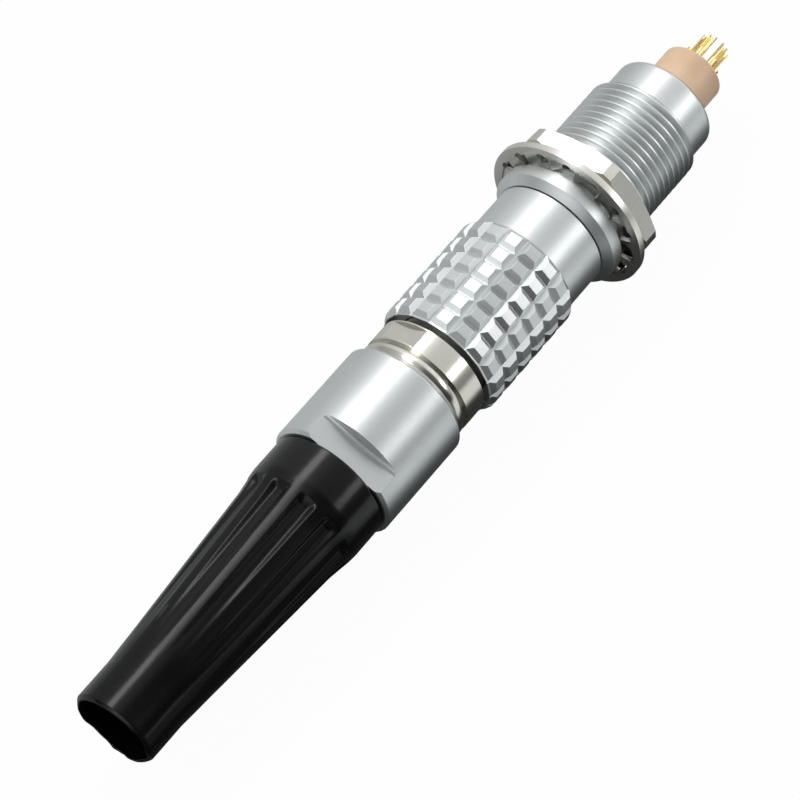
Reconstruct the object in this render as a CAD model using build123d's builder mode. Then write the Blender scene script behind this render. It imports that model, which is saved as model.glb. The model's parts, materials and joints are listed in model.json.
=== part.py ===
import os
from math import cos, radians, sin

from build123d import *

os.makedirs("parts", exist_ok=True)

# A push-pull circular connector pair: a plug mated in its panel receptacle.
# The axis is +X and runs from the cable end to the solder cups of the receptacle.
# x = 0 is the face of the receptacle's flange that seats on the panel.
# Lengths are in millimetres, and angles are in degrees about +X from +Y towards +Z.

# Plays and cutting overrun
thread_play = 0.03
running_play = 0.05
seat_play = 0.02
face_gap = 0.03
cut_overrun = 0.5

# Receptacle shell
flange_radius = 5.0
flange_band = 0.95
flange_cone_length = 0.5
flange_cone_depth = 0.6
thread_radius = 4.45
thread_length = 9.8
thread_chamfer = 0.25
rear_barrel_step = 0.5
rear_barrel_length = 2.75
rear_barrel_bevel = 0.3
mouth_lead_in = 0.2
latch_groove_start = 0.9
latch_groove_length = 1.4
latch_groove_depth = 0.46
crown_recess_start = 3.3
crown_recess_depth = 0.3
insert_seat = 6.9

# Receptacle insulator, crown and retaining ring
chamber_radius = 2.92
chamber_length = 3.7
insulator_neck_radius = 2.36
insulator_reach = 3.5
insulator_chamfer = 0.22
tower_radius = 2.15
tower_length = 5.7
key_width = 0.8
key_play = 0.05
crown_base_length = 0.7
crown_wall = 0.16
crown_tip_length = 0.45
crown_slot_count = 8
crown_slot_width = 0.35
ring_length = 0.6
ring_bore_radius = 2.4
ring_slot_width = 0.5
ring_slot_depth = 0.3

# Contacts
contact_count = 6
contact_circle = 1.1
contact_angle = 19.7
contact_radius = 0.3
socket_wall = 0.13
socket_barrel_length = 5.2
pin_radius = 0.25
pin_reach = 3.4
pin_end_room = 0.4
cup_wall = 0.09
cup_length = 2.7
cup_depth = 2.3
scoop_length = 1.5

# Lock washer and panel nut
washer_radius = 6.25
washer_ring_width = 0.75
washer_ring_thickness = 0.54
washer_thickness = 0.95
washer_tooth_count = 15
washer_tooth_angle = 3.2
washer_tooth_width = 1.1
washer_tooth_thickness = 0.34
washer_tooth_twist = -28.0
nut_across_flats = 11.0
nut_corner_radius = 6.15
nut_corner_bevel = 0.3
nut_thickness = 1.75
nut_bore_chamfer = 0.2
nut_corner_angle = 53.3

# Release sleeve
nose_radius = 3.25
nose_wall = 0.3
nose_reach = 5.3
nose_chamfer = 0.12
sleeve_front_radius = 4.33
sleeve_mouth_gap = 0.08
sleeve_front_length = 3.77
sleeve_rear_lip = 0.15
sleeve_main_wall = 0.85
knurl_lip_wall = 0.12
knurl_depth = 0.3
knurl_rows = 6
knurl_columns = 18
knurl_row_pitch = 1.55
knurl_groove_half_width = 0.36
knurl_angle = 10.3
release_travel = 1.2

# Latch sleeve
collar_radius = 4.28
collar_gap = 0.38
collar_length_visible = 1.8
collar_line_width = 0.12
rim_length = 1.15
collar_flat_depth = 0.28
collar_flat_length = 1.55
collar_flat_angle = 63.2
rim_crown = 0.25
latch_tube_wall = 0.5
latch_step_wall = 0.4
finger_length = 10.6
finger_wall = 0.3
finger_slot_length = 7.6
finger_slot_width = 0.5
finger_tip_length = 0.15
hook_angle = 90.0
hook_arc = 34.0
hook_height = 0.68
hook_length = 1.0
hook_ramp_length = 0.55
hook_rear_slope = 0.15
hook_play = 0.1
window_arc = 40.0
spigot_length = 3.9
spigot_step = 0.38
spigot_end_room = 0.3

# Insert carrier halves and plug insulator
carrier_wall = 0.33
carrier_front = 0.75
carrier_rear_length = 7.9
insulator_length = 6.6
insulator_rib_height = 0.15
insulator_rib_length = 0.7
insulator_rib_start = 4.2

# Collet and collet nut
collet_wall = 1.05
collet_cone_length = 0.8
collet_cone_drop = 0.45
collet_slot_count = 3
collet_slot_width = 0.5
collet_slot_length = 4.4
collet_nut_step = 0.47
collet_nut_length = 8.35
collet_nut_edge = 0.2
collet_nut_front_edge = 0.35
collet_nut_lip_length = 0.2
wrench_flat_depth = 1.12
wrench_flat_length = 2.0
wrench_cutter_radius = 0.5
wrench_flat_angle = 107.2
bead_chamber_length = 1.0
bead_height = 0.4

# Bend relief boot
boot_tip_radius = 3.12
boot_tip_length = 3.3
boot_taper_length = 13.9
boot_shoulder_length = 2.9
boot_shoulder_radius = 4.07
boot_shoulder_bend = 1.3
boot_shoulder_drop = 0.08
boot_collar_step = 0.35
boot_collar_length = 2.7
boot_bore_radius = 2.75
boot_neck_radius = 3.15
flute_count = 12
flute_arc = 16.5
flute_angle = 15.2
flute_depth = 0.3
flute_length = 14.0

# Stations that follow from the sizes above
mouth = -(flange_band + flange_cone_length)
rear_face = thread_length + rear_barrel_length
rear_barrel_radius = thread_radius - rear_barrel_step
socket_bore = nose_radius + running_play
crown_recess = socket_bore + crown_recess_depth
latch_groove_end = latch_groove_start + latch_groove_length
chamber_end = insert_seat + chamber_length
insulator_end = rear_face + insulator_reach
tower_front = insert_seat - tower_length

sleeve_shoulder = mouth - sleeve_mouth_gap
knurl_front = sleeve_shoulder - sleeve_front_length
knurl_rear = knurl_front - knurl_rows * knurl_row_pitch
sleeve_rear = knurl_rear - sleeve_rear_lip
collar_front = sleeve_rear - collar_gap
collar_rear = collar_front - collar_length_visible
nut_seat = collar_rear - rim_length
mouth_counterbore = collar_radius + running_play
mouth_counterbore_end = collar_front + release_travel
sleeve_bore = sleeve_front_radius - sleeve_main_wall
nose_bore = nose_radius - nose_wall
key_angle = hook_angle + 45
ring_front = insert_seat - ring_length
crown_rear = ring_front - seat_play
crown_radius = crown_recess - seat_play
crown_front = crown_recess_start + seat_play
washer_rear = face_gap + washer_thickness
washer_ring_bore = washer_radius - washer_ring_width
nut_front = washer_rear + face_gap
knurl_floor = mouth_counterbore + knurl_lip_wall
knurl_radius = knurl_floor + knurl_depth
finger_radius = nose_bore - running_play
finger_bore = finger_radius - finger_wall
latch_tube_radius = sleeve_bore - running_play
latch_tube_bore = latch_tube_radius - latch_tube_wall
hook_rear = latch_groove_start + hook_play
hook_front = hook_rear + hook_length
finger_root = hook_front - finger_length
sleeve_step = finger_root + release_travel + face_gap
spigot_radius = collar_radius - spigot_step
spigot_rear = nut_seat - spigot_length

carrier_radius = finger_bore - seat_play
carrier_bore = carrier_radius - carrier_wall
latch_step = finger_root - latch_step_wall
finger_end = hook_front + finger_tip_length
carrier_step = latch_step - seat_play
carrier_rear = carrier_step - carrier_rear_length
carrier_tail_radius = latch_tube_bore - seat_play
plug_insulator_radius = carrier_bore - seat_play
plug_insulator_rear = carrier_front - insulator_length

carrier_tail_bore = carrier_tail_radius - carrier_wall
pin_socket_bore = pin_radius + running_play
socket_radius = pin_socket_bore + socket_wall

collet_front = carrier_rear - seat_play
collet_radius = latch_tube_bore - seat_play
collet_cone_start = spigot_rear - spigot_end_room
collet_rear = collet_cone_start - collet_cone_length
collet_bore = collet_radius - collet_wall
nut_thread_bore = spigot_radius + thread_play
collar_flat_distance = collar_radius - collar_flat_depth
collet_nut_radius = collar_radius + collet_nut_step
wrench_flat_distance = collet_nut_radius - wrench_flat_depth
boot_collar_radius = collet_nut_radius - boot_collar_step
nut_rear = nut_seat - face_gap - collet_nut_length
nut_thread_end = collet_cone_start - face_gap
nut_cone_end = collet_rear - face_gap
bead_chamber_front = nut_cone_end - collet_nut_lip_length
bead_chamber_rear = bead_chamber_front - bead_chamber_length
boot_neck_bore = boot_neck_radius + running_play
boot_front = nut_rear - face_gap
boot_collar_start = boot_front - boot_collar_length
boot_taper_end = boot_collar_start - boot_shoulder_length
boot_taper_start = boot_taper_end - boot_taper_length
boot_tip = boot_taper_start - boot_tip_length


def axial_plane(angle):
    """A plane through the axis: local x is +X, and local y points outwards at an angle."""
    return Plane(origin=(0, 0, 0), x_dir=(1, 0, 0), z_dir=(0, -sin(radians(angle)), cos(radians(angle))))


def contact_plane(angle):
    """The same plane moved out to the circle on which the contacts stand."""
    centre = (0, contact_circle * cos(radians(angle)), contact_circle * sin(radians(angle)))
    return Plane(origin=centre, x_dir=(1, 0, 0), z_dir=(0, -sin(radians(angle)), cos(radians(angle))))


# Receptacle shell: flange, threaded barrel, latch groove and the chamber of the insulator
with BuildPart() as receptacle_shell:
    with BuildSketch(Plane.XY):
        with BuildLine():
            Polyline(
                (mouth, socket_bore + mouth_lead_in),
                (mouth, flange_radius - flange_cone_depth),
                (-flange_band, flange_radius),
                (0, flange_radius),
                (0, thread_radius),
                (thread_length - thread_chamfer, thread_radius),
                (thread_length, thread_radius - thread_chamfer),
                (thread_length, rear_barrel_radius),
                (rear_face - rear_barrel_bevel, rear_barrel_radius),
                (rear_face, rear_barrel_radius - rear_barrel_bevel),
                (rear_face, insulator_neck_radius + seat_play),
                (chamber_end, insulator_neck_radius + seat_play),
                (chamber_end, chamber_radius),
                (insert_seat, chamber_radius),
                (insert_seat, crown_recess),
                (crown_recess_start, crown_recess),
                (crown_recess_start, socket_bore),
                (latch_groove_end, socket_bore),
                (latch_groove_end, socket_bore + latch_groove_depth),
                (latch_groove_start, socket_bore + latch_groove_depth),
                (latch_groove_start, socket_bore),
                (mouth + mouth_lead_in, socket_bore),
                close=True,
            )
        make_face()
    revolve(axis=Axis.X)

# Receptacle insulator: a tower that enters the plug, a body in the chamber and a neck behind
with BuildPart() as receptacle_insulator:
    with BuildSketch(Plane.XY):
        with BuildLine():
            Polyline(
                (tower_front, 0),
                (tower_front, tower_radius - insulator_chamfer),
                (tower_front + insulator_chamfer, tower_radius),
                (insert_seat, tower_radius),
                (insert_seat, chamber_radius - seat_play),
                (chamber_end - seat_play, chamber_radius - seat_play),
                (chamber_end - seat_play, insulator_neck_radius),
                (insulator_end - insulator_chamfer, insulator_neck_radius),
                (insulator_end, insulator_neck_radius - insulator_chamfer),
                (insulator_end, 0),
                close=True,
            )
        make_face()
    revolve(axis=Axis.X)
    with BuildSketch(Plane.YZ.offset(tower_front + insulator_chamfer)):
        with PolarLocations(nose_bore - key_play, 1, start_angle=key_angle):
            Rectangle(nose_bore - key_play - tower_radius / 2, key_width, align=(Align.MAX, Align.CENTER))
    extrude(amount=ring_front - seat_play - tower_front - insulator_chamfer)
    with BuildSketch(Plane.YZ.offset(tower_front - cut_overrun)):
        with PolarLocations(contact_circle, contact_count, start_angle=contact_angle):
            Circle(socket_radius + seat_play)
    extrude(amount=socket_barrel_length + cut_overrun + seat_play, mode=Mode.SUBTRACT)
    with BuildSketch(Plane.YZ.offset(tower_front)):
        with PolarLocations(contact_circle, contact_count, start_angle=contact_angle):
            Circle(contact_radius + seat_play)
    extrude(amount=insulator_end - tower_front + cut_overrun, mode=Mode.SUBTRACT)

# Earthing crown: a slotted spring ring whose tips touch the nose of the plug
with BuildPart() as earthing_crown:
    with BuildSketch(Plane.XY):
        with BuildLine():
            Polyline(
                (crown_rear, socket_bore),
                (crown_rear, crown_radius),
                (crown_front, crown_radius),
                (crown_front, socket_bore),
                (crown_front + crown_tip_length, socket_bore),
                (crown_front + crown_tip_length, crown_radius - crown_wall),
                (crown_rear - crown_base_length, crown_radius - crown_wall),
                (crown_rear - crown_base_length, socket_bore),
                close=True,
            )
        make_face()
    revolve(axis=Axis.X)
    with BuildSketch(Plane.YZ.offset(crown_front - cut_overrun)):
        with PolarLocations(crown_radius, crown_slot_count):
            Rectangle(4 * crown_wall, crown_slot_width)
    extrude(amount=crown_rear - crown_base_length - crown_front + cut_overrun, mode=Mode.SUBTRACT)

# Retaining ring that holds the insulator on its seat, with two slots for a spanner
with BuildPart() as retaining_ring:
    with BuildSketch(Plane.YZ.offset(ring_front)):
        Circle(crown_radius)
        Circle(ring_bore_radius, mode=Mode.SUBTRACT)
    extrude(amount=ring_length)
    with BuildSketch(Plane.YZ.offset(ring_front - cut_overrun)):
        Rectangle(3 * crown_radius, ring_slot_width)
    extrude(amount=ring_slot_depth + cut_overrun, mode=Mode.SUBTRACT)


def socket_contact(angle):
    """A socket with a barrel in front and a scooped solder cup behind."""
    plane = contact_plane(angle)
    cup_end = insulator_end + cup_length
    barrel_front = tower_front + seat_play
    with BuildPart() as contact:
        with BuildSketch(plane):
            with BuildLine():
                Polyline(
                    (barrel_front, pin_socket_bore),
                    (barrel_front, socket_radius),
                    (tower_front + socket_barrel_length, socket_radius),
                    (tower_front + socket_barrel_length, contact_radius),
                    (cup_end, contact_radius),
                    (cup_end, contact_radius - cup_wall),
                    (cup_end - cup_depth, contact_radius - cup_wall),
                    (cup_end - cup_depth, 0),
                    (carrier_front + pin_reach + pin_end_room, 0),
                    (carrier_front + pin_reach + pin_end_room, pin_socket_bore),
                    close=True,
                )
            make_face()
        revolve(axis=Axis(plane.origin, plane.x_dir))
        with BuildSketch(plane):
            with Locations((cup_end - scoop_length, 0)):
                Rectangle(scoop_length + cut_overrun, contact_circle, align=(Align.MIN, Align.MIN))
        extrude(amount=socket_radius + cut_overrun, both=True, mode=Mode.SUBTRACT)
    return contact.part


def pin_contact(angle):
    """A pin with a thicker body in the plug's insulator and a scooped solder cup behind."""
    plane = contact_plane(angle)
    cup_end = plug_insulator_rear - cup_length
    pin_tip = carrier_front + pin_reach
    with BuildPart() as contact:
        with BuildSketch(plane):
            with BuildLine():
                Polyline(
                    (pin_tip, 0),
                    (pin_tip, pin_radius),
                    (carrier_front, pin_radius),
                    (carrier_front, contact_radius),
                    (cup_end, contact_radius),
                    (cup_end, contact_radius - cup_wall),
                    (cup_end + cup_depth, contact_radius - cup_wall),
                    (cup_end + cup_depth, 0),
                    close=True,
                )
            make_face()
        revolve(axis=Axis(plane.origin, plane.x_dir))
        with BuildSketch(plane):
            with Locations((cup_end + scoop_length, 0)):
                Rectangle(scoop_length + cut_overrun, contact_circle, align=(Align.MAX, Align.MIN))
        extrude(amount=contact_radius + cut_overrun, both=True, mode=Mode.SUBTRACT)
    return contact.part


# Lock washer: a flat ring with twisted teeth on its inside
with BuildPart() as lock_washer:
    with BuildSketch(Plane.YZ.offset(washer_rear - washer_ring_thickness)):
        Circle(washer_radius)
        Circle(washer_ring_bore, mode=Mode.SUBTRACT)
    extrude(amount=washer_ring_thickness)
    tooth_tip = thread_radius + 2 * running_play
    tooth_root = washer_ring_bore + washer_ring_thickness / 2
    for i in range(washer_tooth_count):
        turn = radians(washer_tooth_angle + 360 * i / washer_tooth_count)
        outwards = Vector(0, cos(turn), sin(turn))
        tangent = Vector(0, -sin(turn), cos(turn))
        flat = tangent * cos(radians(washer_tooth_twist)) + Vector(sin(radians(washer_tooth_twist)), 0, 0)
        middle = outwards * tooth_root + Vector((face_gap + washer_rear) / 2, 0, 0)
        with BuildSketch(Plane(origin=middle, x_dir=flat, z_dir=-outwards)):
            Rectangle(washer_tooth_width, washer_tooth_thickness)
        extrude(amount=tooth_root - tooth_tip)

# Panel nut: a hexagon with its corners turned down and both faces bevelled
with BuildPart() as panel_nut:
    with BuildSketch(Plane.YZ.offset(nut_front)):
        RegularPolygon(nut_across_flats / 2, 6, major_radius=False, rotation=nut_corner_angle)
    extrude(amount=nut_thickness)
    with BuildSketch(Plane.XY):
        with BuildLine():
            Polyline(
                (nut_front, 0),
                (nut_front, nut_corner_radius - 2 * nut_corner_bevel),
                (nut_front + nut_corner_bevel, nut_corner_radius),
                (nut_front + nut_thickness - nut_corner_bevel, nut_corner_radius),
                (nut_front + nut_thickness, nut_corner_radius - 2 * nut_corner_bevel),
                (nut_front + nut_thickness, 0),
                close=True,
            )
        make_face()
    revolve(axis=Axis.X, mode=Mode.INTERSECT)
    with BuildSketch(Plane.XY):
        with BuildLine():
            Polyline(
                (nut_front, 0),
                (nut_front, thread_radius + thread_play + nut_bore_chamfer),
                (nut_front + nut_bore_chamfer, thread_radius + thread_play),
                (nut_front + nut_thickness - nut_bore_chamfer, thread_radius + thread_play),
                (nut_front + nut_thickness, thread_radius + thread_play + nut_bore_chamfer),
                (nut_front + nut_thickness, 0),
                close=True,
            )
        make_face()
    revolve(axis=Axis.X, mode=Mode.SUBTRACT)

# Release sleeve: a knurled grip with a smooth front and a nose that carries two windows
with BuildPart() as release_sleeve:
    half_column = 180 / knurl_columns
    sections = [(sleeve_rear, knurl_floor)]
    for row in range(knurl_rows):
        row_rear = knurl_rear + row * knurl_row_pitch
        sections.append((row_rear, knurl_floor))
        sections.append((row_rear + knurl_groove_half_width, knurl_radius))
        sections.append((row_rear + knurl_row_pitch - knurl_groove_half_width, knurl_radius))
    sections.append((knurl_front, knurl_floor))
    for station, height in sections:
        with BuildSketch(Plane.YZ.offset(station)):
            RegularPolygon(height, knurl_columns, major_radius=False, rotation=knurl_angle + half_column)
    loft(ruled=True)
    with BuildSketch(Plane.XY):
        with BuildLine():
            Polyline(
                (sleeve_rear, 0),
                (sleeve_rear, mouth_counterbore),
                (mouth_counterbore_end, mouth_counterbore),
                (mouth_counterbore_end, sleeve_bore),
                (sleeve_step, sleeve_bore),
                (sleeve_step, nose_bore),
                (knurl_front, nose_bore),
                (knurl_front, 0),
                close=True,
            )
        make_face()
    revolve(axis=Axis.X, mode=Mode.SUBTRACT)
    with BuildSketch(Plane.XY):
        with BuildLine():
            Polyline(
                (knurl_front, nose_bore),
                (knurl_front, sleeve_front_radius),
                (sleeve_shoulder, sleeve_front_radius),
                (sleeve_shoulder, nose_radius),
                (nose_reach - nose_chamfer, nose_radius),
                (nose_reach, nose_radius - nose_chamfer),
                (nose_reach, nose_bore),
                close=True,
            )
        make_face()
    revolve(axis=Axis.X)
    lift = 1 + cut_overrun / knurl_depth
    with BuildSketch(Plane.YZ.offset(sleeve_rear - cut_overrun)):
        with PolarLocations(knurl_floor, knurl_columns, start_angle=knurl_angle + half_column):
            Polygon(
                (0, 0),
                (knurl_depth + cut_overrun, -knurl_groove_half_width * lift),
                (knurl_depth + cut_overrun, knurl_groove_half_width * lift),
                align=None,
            )
    extrude(amount=knurl_front - sleeve_rear + 2 * cut_overrun, mode=Mode.SUBTRACT)
    for side in (0, 180):
        with BuildSketch(axial_plane(hook_angle + side - window_arc / 2)):
            with BuildLine():
                Polyline(
                    (hook_rear - hook_play, nose_bore / 2),
                    (hook_rear - hook_play, nose_radius + cut_overrun),
                    (hook_front + hook_play, nose_radius + cut_overrun),
                    (hook_front + hook_play, nose_bore / 2),
                    close=True,
                )
            make_face()
        revolve(axis=Axis.X, revolution_arc=window_arc, mode=Mode.SUBTRACT)

# Latch sleeve: collar with wrench flats, threaded spigot behind, sprung fingers with two hooks in front
with BuildPart() as latch_sleeve:
    with BuildSketch(Plane.XY):
        with BuildLine():
            Polyline(
                (spigot_rear, latch_tube_bore),
                (spigot_rear, spigot_radius),
                (nut_seat, spigot_radius),
                (nut_seat, collar_radius - rim_crown),
                (nut_seat + rim_crown, collar_radius),
                (collar_rear - collar_line_width - rim_crown, collar_radius),
                (collar_rear - collar_line_width, collar_radius - rim_crown),
                (collar_rear, collar_radius - rim_crown),
                (collar_rear, collar_radius),
                (collar_front, collar_radius),
                (collar_front, latch_tube_radius),
                (finger_root, latch_tube_radius),
                (finger_root, finger_radius),
                (finger_end, finger_radius),
                (finger_end, finger_bore),
                (latch_step, finger_bore),
                (latch_step, latch_tube_bore),
                close=True,
            )
        make_face()
    revolve(axis=Axis.X)
    for side in (0, 180):
        with BuildSketch(axial_plane(collar_flat_angle + side)):
            with Locations((collar_front - collar_line_width, collar_flat_distance)):
                Rectangle(collar_flat_length, collar_radius, align=(Align.MAX, Align.MIN))
        extrude(amount=collar_radius, both=True, mode=Mode.SUBTRACT)
    for side in (0, 180):
        with BuildSketch(axial_plane(hook_angle + side - hook_arc / 2)):
            with BuildLine():
                Polyline(
                    (hook_rear, finger_radius - finger_wall / 2),
                    (hook_rear + hook_rear_slope, finger_radius + hook_height),
                    (hook_front - hook_ramp_length, finger_radius + hook_height),
                    (hook_front, finger_radius - finger_wall / 2),
                    close=True,
                )
            make_face()
        revolve(axis=Axis.X, revolution_arc=hook_arc)
    with BuildSketch(Plane.YZ.offset(finger_end + cut_overrun)):
        with PolarLocations(finger_radius, 3, start_angle=key_angle + 90, angular_range=180, endpoint=True):
            Rectangle(4 * finger_wall, finger_slot_width)
        with PolarLocations(finger_radius, 1, start_angle=key_angle):
            Rectangle(4 * finger_wall, key_width + 2 * key_play)
    extrude(amount=-finger_slot_length - cut_overrun, mode=Mode.SUBTRACT)


def insert_carrier(kept_side, cut_plane):
    """One half of the split carrier that clamps the plug's insulator in the latch sleeve."""
    rib_front = carrier_front - insulator_rib_start + seat_play
    rib_rear = rib_front - insulator_rib_length - 2 * seat_play
    with BuildPart() as half:
        with BuildSketch(Plane.XY):
            with BuildLine():
                Polyline(
                    (carrier_rear, carrier_tail_bore),
                    (carrier_rear, carrier_tail_radius),
                    (carrier_step, carrier_tail_radius),
                    (carrier_step, carrier_radius),
                    (carrier_front, carrier_radius),
                    (carrier_front, carrier_bore),
                    (rib_front, carrier_bore),
                    (rib_front, carrier_bore + insulator_rib_height),
                    (rib_rear, carrier_bore + insulator_rib_height),
                    (rib_rear, carrier_bore),
                    (carrier_step - carrier_wall, carrier_bore),
                    (carrier_step - carrier_wall, carrier_tail_bore),
                    close=True,
                )
            make_face()
        revolve(axis=Axis.X)
        split(bisect_by=cut_plane, keep=kept_side)
    return half.part


# Plug insulator: a rod with a rib that the carrier halves hold
with BuildPart() as plug_insulator:
    with BuildSketch(Plane.XY):
        with BuildLine():
            Polyline(
                (plug_insulator_rear, 0),
                (plug_insulator_rear, plug_insulator_radius),
                (carrier_front - insulator_rib_start - insulator_rib_length, plug_insulator_radius),
                (
                    carrier_front - insulator_rib_start - insulator_rib_length,
                    plug_insulator_radius + insulator_rib_height,
                ),
                (carrier_front - insulator_rib_start, plug_insulator_radius + insulator_rib_height),
                (carrier_front - insulator_rib_start, plug_insulator_radius),
                (carrier_front, plug_insulator_radius),
                (carrier_front, 0),
                close=True,
            )
        make_face()
    revolve(axis=Axis.X)
    with BuildSketch(Plane.YZ.offset(carrier_front + cut_overrun)):
        with PolarLocations(contact_circle, contact_count, start_angle=contact_angle):
            Circle(contact_radius + seat_play)
    extrude(amount=-insulator_length - 2 * cut_overrun, mode=Mode.SUBTRACT)

# Collet: a slotted ring that the collet nut's cone closes on the cable
with BuildPart() as collet:
    with BuildSketch(Plane.XY):
        with BuildLine():
            Polyline(
                (collet_front, collet_bore),
                (collet_front, collet_radius),
                (collet_cone_start, collet_radius),
                (collet_rear, collet_radius - collet_cone_drop),
                (collet_rear, collet_bore),
                close=True,
            )
        make_face()
    revolve(axis=Axis.X)
    with BuildSketch(Plane.YZ.offset(collet_rear - cut_overrun)):
        with PolarLocations(collet_radius, collet_slot_count):
            Rectangle(3 * collet_wall, collet_slot_width)
    extrude(amount=collet_slot_length + cut_overrun, mode=Mode.SUBTRACT)

# Collet nut: it screws on the latch sleeve's spigot and holds the boot's bead at its rear
with BuildPart() as collet_nut:
    nut_front_face = nut_seat - face_gap
    with BuildSketch(Plane.XY):
        with BuildLine():
            Polyline(
                (nut_front_face, nut_thread_bore),
                (nut_front_face, collet_nut_radius - collet_nut_front_edge),
                (nut_front_face - collet_nut_front_edge, collet_nut_radius),
                (nut_rear + collet_nut_edge, collet_nut_radius),
                (nut_rear, collet_nut_radius - collet_nut_edge),
                (nut_rear, boot_neck_bore),
                (bead_chamber_rear, boot_neck_bore),
                (bead_chamber_rear, boot_neck_bore + bead_height),
                (bead_chamber_front, boot_neck_bore + bead_height),
                (bead_chamber_front, collet_radius - collet_cone_drop),
                (nut_cone_end, collet_radius - collet_cone_drop),
                (nut_thread_end, collet_radius),
                (nut_thread_end, nut_thread_bore),
                close=True,
            )
        make_face()
    revolve(axis=Axis.X)
    for side in (0, 180):
        with BuildSketch(axial_plane(wrench_flat_angle + side)):
            with Locations((nut_rear - cut_overrun, wrench_flat_distance)):
                RectangleRounded(
                    2 * (wrench_flat_length + cut_overrun),
                    2 * collet_nut_radius,
                    wrench_cutter_radius,
                    align=(Align.CENTER, Align.MIN),
                )
        extrude(amount=collet_nut_radius + cut_overrun, both=True, mode=Mode.SUBTRACT)

# Bend relief boot: a tapered rubber sleeve with flutes, a collar and a bead that snaps in the nut
with BuildPart() as bend_relief:
    bead_front = bead_chamber_front - face_gap
    bead_rear = bead_chamber_rear + face_gap
    with BuildSketch(Plane.XY):
        with BuildLine():
            Polyline(
                (boot_collar_start, boot_collar_radius),
                (boot_front, boot_collar_radius),
                (boot_front, boot_neck_radius),
                (bead_rear, boot_neck_radius),
                (bead_rear, boot_neck_radius + bead_height),
                (bead_front, boot_neck_radius),
                (bead_front, boot_bore_radius),
                (boot_tip, boot_bore_radius),
                (boot_tip, boot_tip_radius),
                (boot_taper_start, boot_tip_radius),
                (boot_taper_end, boot_shoulder_radius),
                (boot_collar_start - boot_shoulder_bend, boot_collar_radius - boot_shoulder_drop),
                close=True,
            )
        make_face()
    revolve(axis=Axis.X)
    flute_front = boot_collar_start - boot_shoulder_bend
    taper_slope = (boot_shoulder_radius - boot_tip_radius) / boot_taper_length
    front_radius = boot_shoulder_radius + (flute_front - boot_taper_end) * taper_slope
    fade_radius = front_radius - flute_length * taper_slope
    for i in range(flute_count):
        with BuildSketch(axial_plane(flute_angle + 360 * i / flute_count - flute_arc / 2)):
            with BuildLine():
                Polyline(
                    (flute_front - flute_length, fade_radius),
                    (flute_front, front_radius - flute_depth),
                    (flute_front, boot_collar_radius + cut_overrun),
                    (flute_front - flute_length, fade_radius + cut_overrun),
                    close=True,
                )
            make_face()
        revolve(axis=Axis.X, revolution_arc=flute_arc, mode=Mode.SUBTRACT)

# Names of the pieces, and one file for each
pieces = {
    "receptacle_shell": receptacle_shell.part,
    "receptacle_insulator": receptacle_insulator.part,
    "earthing_crown": earthing_crown.part,
    "retaining_ring": retaining_ring.part,
    "lock_washer": lock_washer.part,
    "panel_nut": panel_nut.part,
    "release_sleeve": release_sleeve.part,
    "latch_sleeve": latch_sleeve.part,
    "insert_carrier_upper": insert_carrier(Keep.TOP, Plane.XY.offset(seat_play / 2)),
    "insert_carrier_lower": insert_carrier(Keep.BOTTOM, Plane.XY.offset(-seat_play / 2)),
    "plug_insulator": plug_insulator.part,
    "collet": collet.part,
    "collet_nut": collet_nut.part,
    "bend_relief": bend_relief.part,
}
for i in range(contact_count):
    angle = contact_angle + 360 * i / contact_count
    pieces[f"socket_contact_{i + 1}"] = socket_contact(angle)
    pieces[f"pin_contact_{i + 1}"] = pin_contact(angle)

for name, piece in pieces.items():
    piece.label = name
    export_step(piece, f"parts/{name}.step")
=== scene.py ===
"""Looks of a small push-pull circular connector: a cable plug latched in its threaded panel receptacle.

The connector's axis is +X, from the boot's open end to the solder cups, and x = 0 is the face of the
flange that seats on the panel. Sizes of the pieces are in millimetres and angles are in degrees about
+X, from +Y towards +Z. The studio's sizes are in metres.
"""

import json
import logging
from collections.abc import Callable, Iterable, Sequence
from dataclasses import dataclass, field
from enum import Enum
from itertools import pairwise
from math import atan2, cos, degrees, pi, radians, sin, tau

import bpy
from mathutils import Matrix, Vector


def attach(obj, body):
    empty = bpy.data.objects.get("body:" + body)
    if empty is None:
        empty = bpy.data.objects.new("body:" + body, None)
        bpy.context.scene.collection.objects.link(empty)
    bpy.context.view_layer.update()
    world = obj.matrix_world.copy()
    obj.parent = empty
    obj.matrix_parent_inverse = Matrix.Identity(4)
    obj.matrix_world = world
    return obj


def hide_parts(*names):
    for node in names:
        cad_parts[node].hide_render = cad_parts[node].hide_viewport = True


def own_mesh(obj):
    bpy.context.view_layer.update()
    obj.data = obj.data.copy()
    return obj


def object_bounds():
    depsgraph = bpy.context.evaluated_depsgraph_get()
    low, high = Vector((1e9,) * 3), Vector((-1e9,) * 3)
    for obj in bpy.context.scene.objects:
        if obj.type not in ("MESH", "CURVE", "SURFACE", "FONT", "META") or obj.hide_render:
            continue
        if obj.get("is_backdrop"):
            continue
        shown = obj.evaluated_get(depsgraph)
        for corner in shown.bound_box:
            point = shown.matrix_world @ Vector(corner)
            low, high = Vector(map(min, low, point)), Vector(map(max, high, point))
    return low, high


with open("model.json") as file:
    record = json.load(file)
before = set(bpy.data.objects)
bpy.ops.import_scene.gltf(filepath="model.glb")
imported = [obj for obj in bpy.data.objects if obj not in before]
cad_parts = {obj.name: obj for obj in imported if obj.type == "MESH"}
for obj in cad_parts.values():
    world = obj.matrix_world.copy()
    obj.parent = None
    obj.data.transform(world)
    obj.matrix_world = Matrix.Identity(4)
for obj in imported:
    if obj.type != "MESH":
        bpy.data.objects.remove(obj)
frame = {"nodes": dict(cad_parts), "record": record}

LOG = logging.getLogger("connector")
MM = 0.001
TURN_STEPS = 144
FINE_MERGE = 0.0004
SMOOTH_ANGLE = 32.0
Outline = Sequence[tuple[float, float]]
Colour = tuple[float, float, float]


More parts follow.
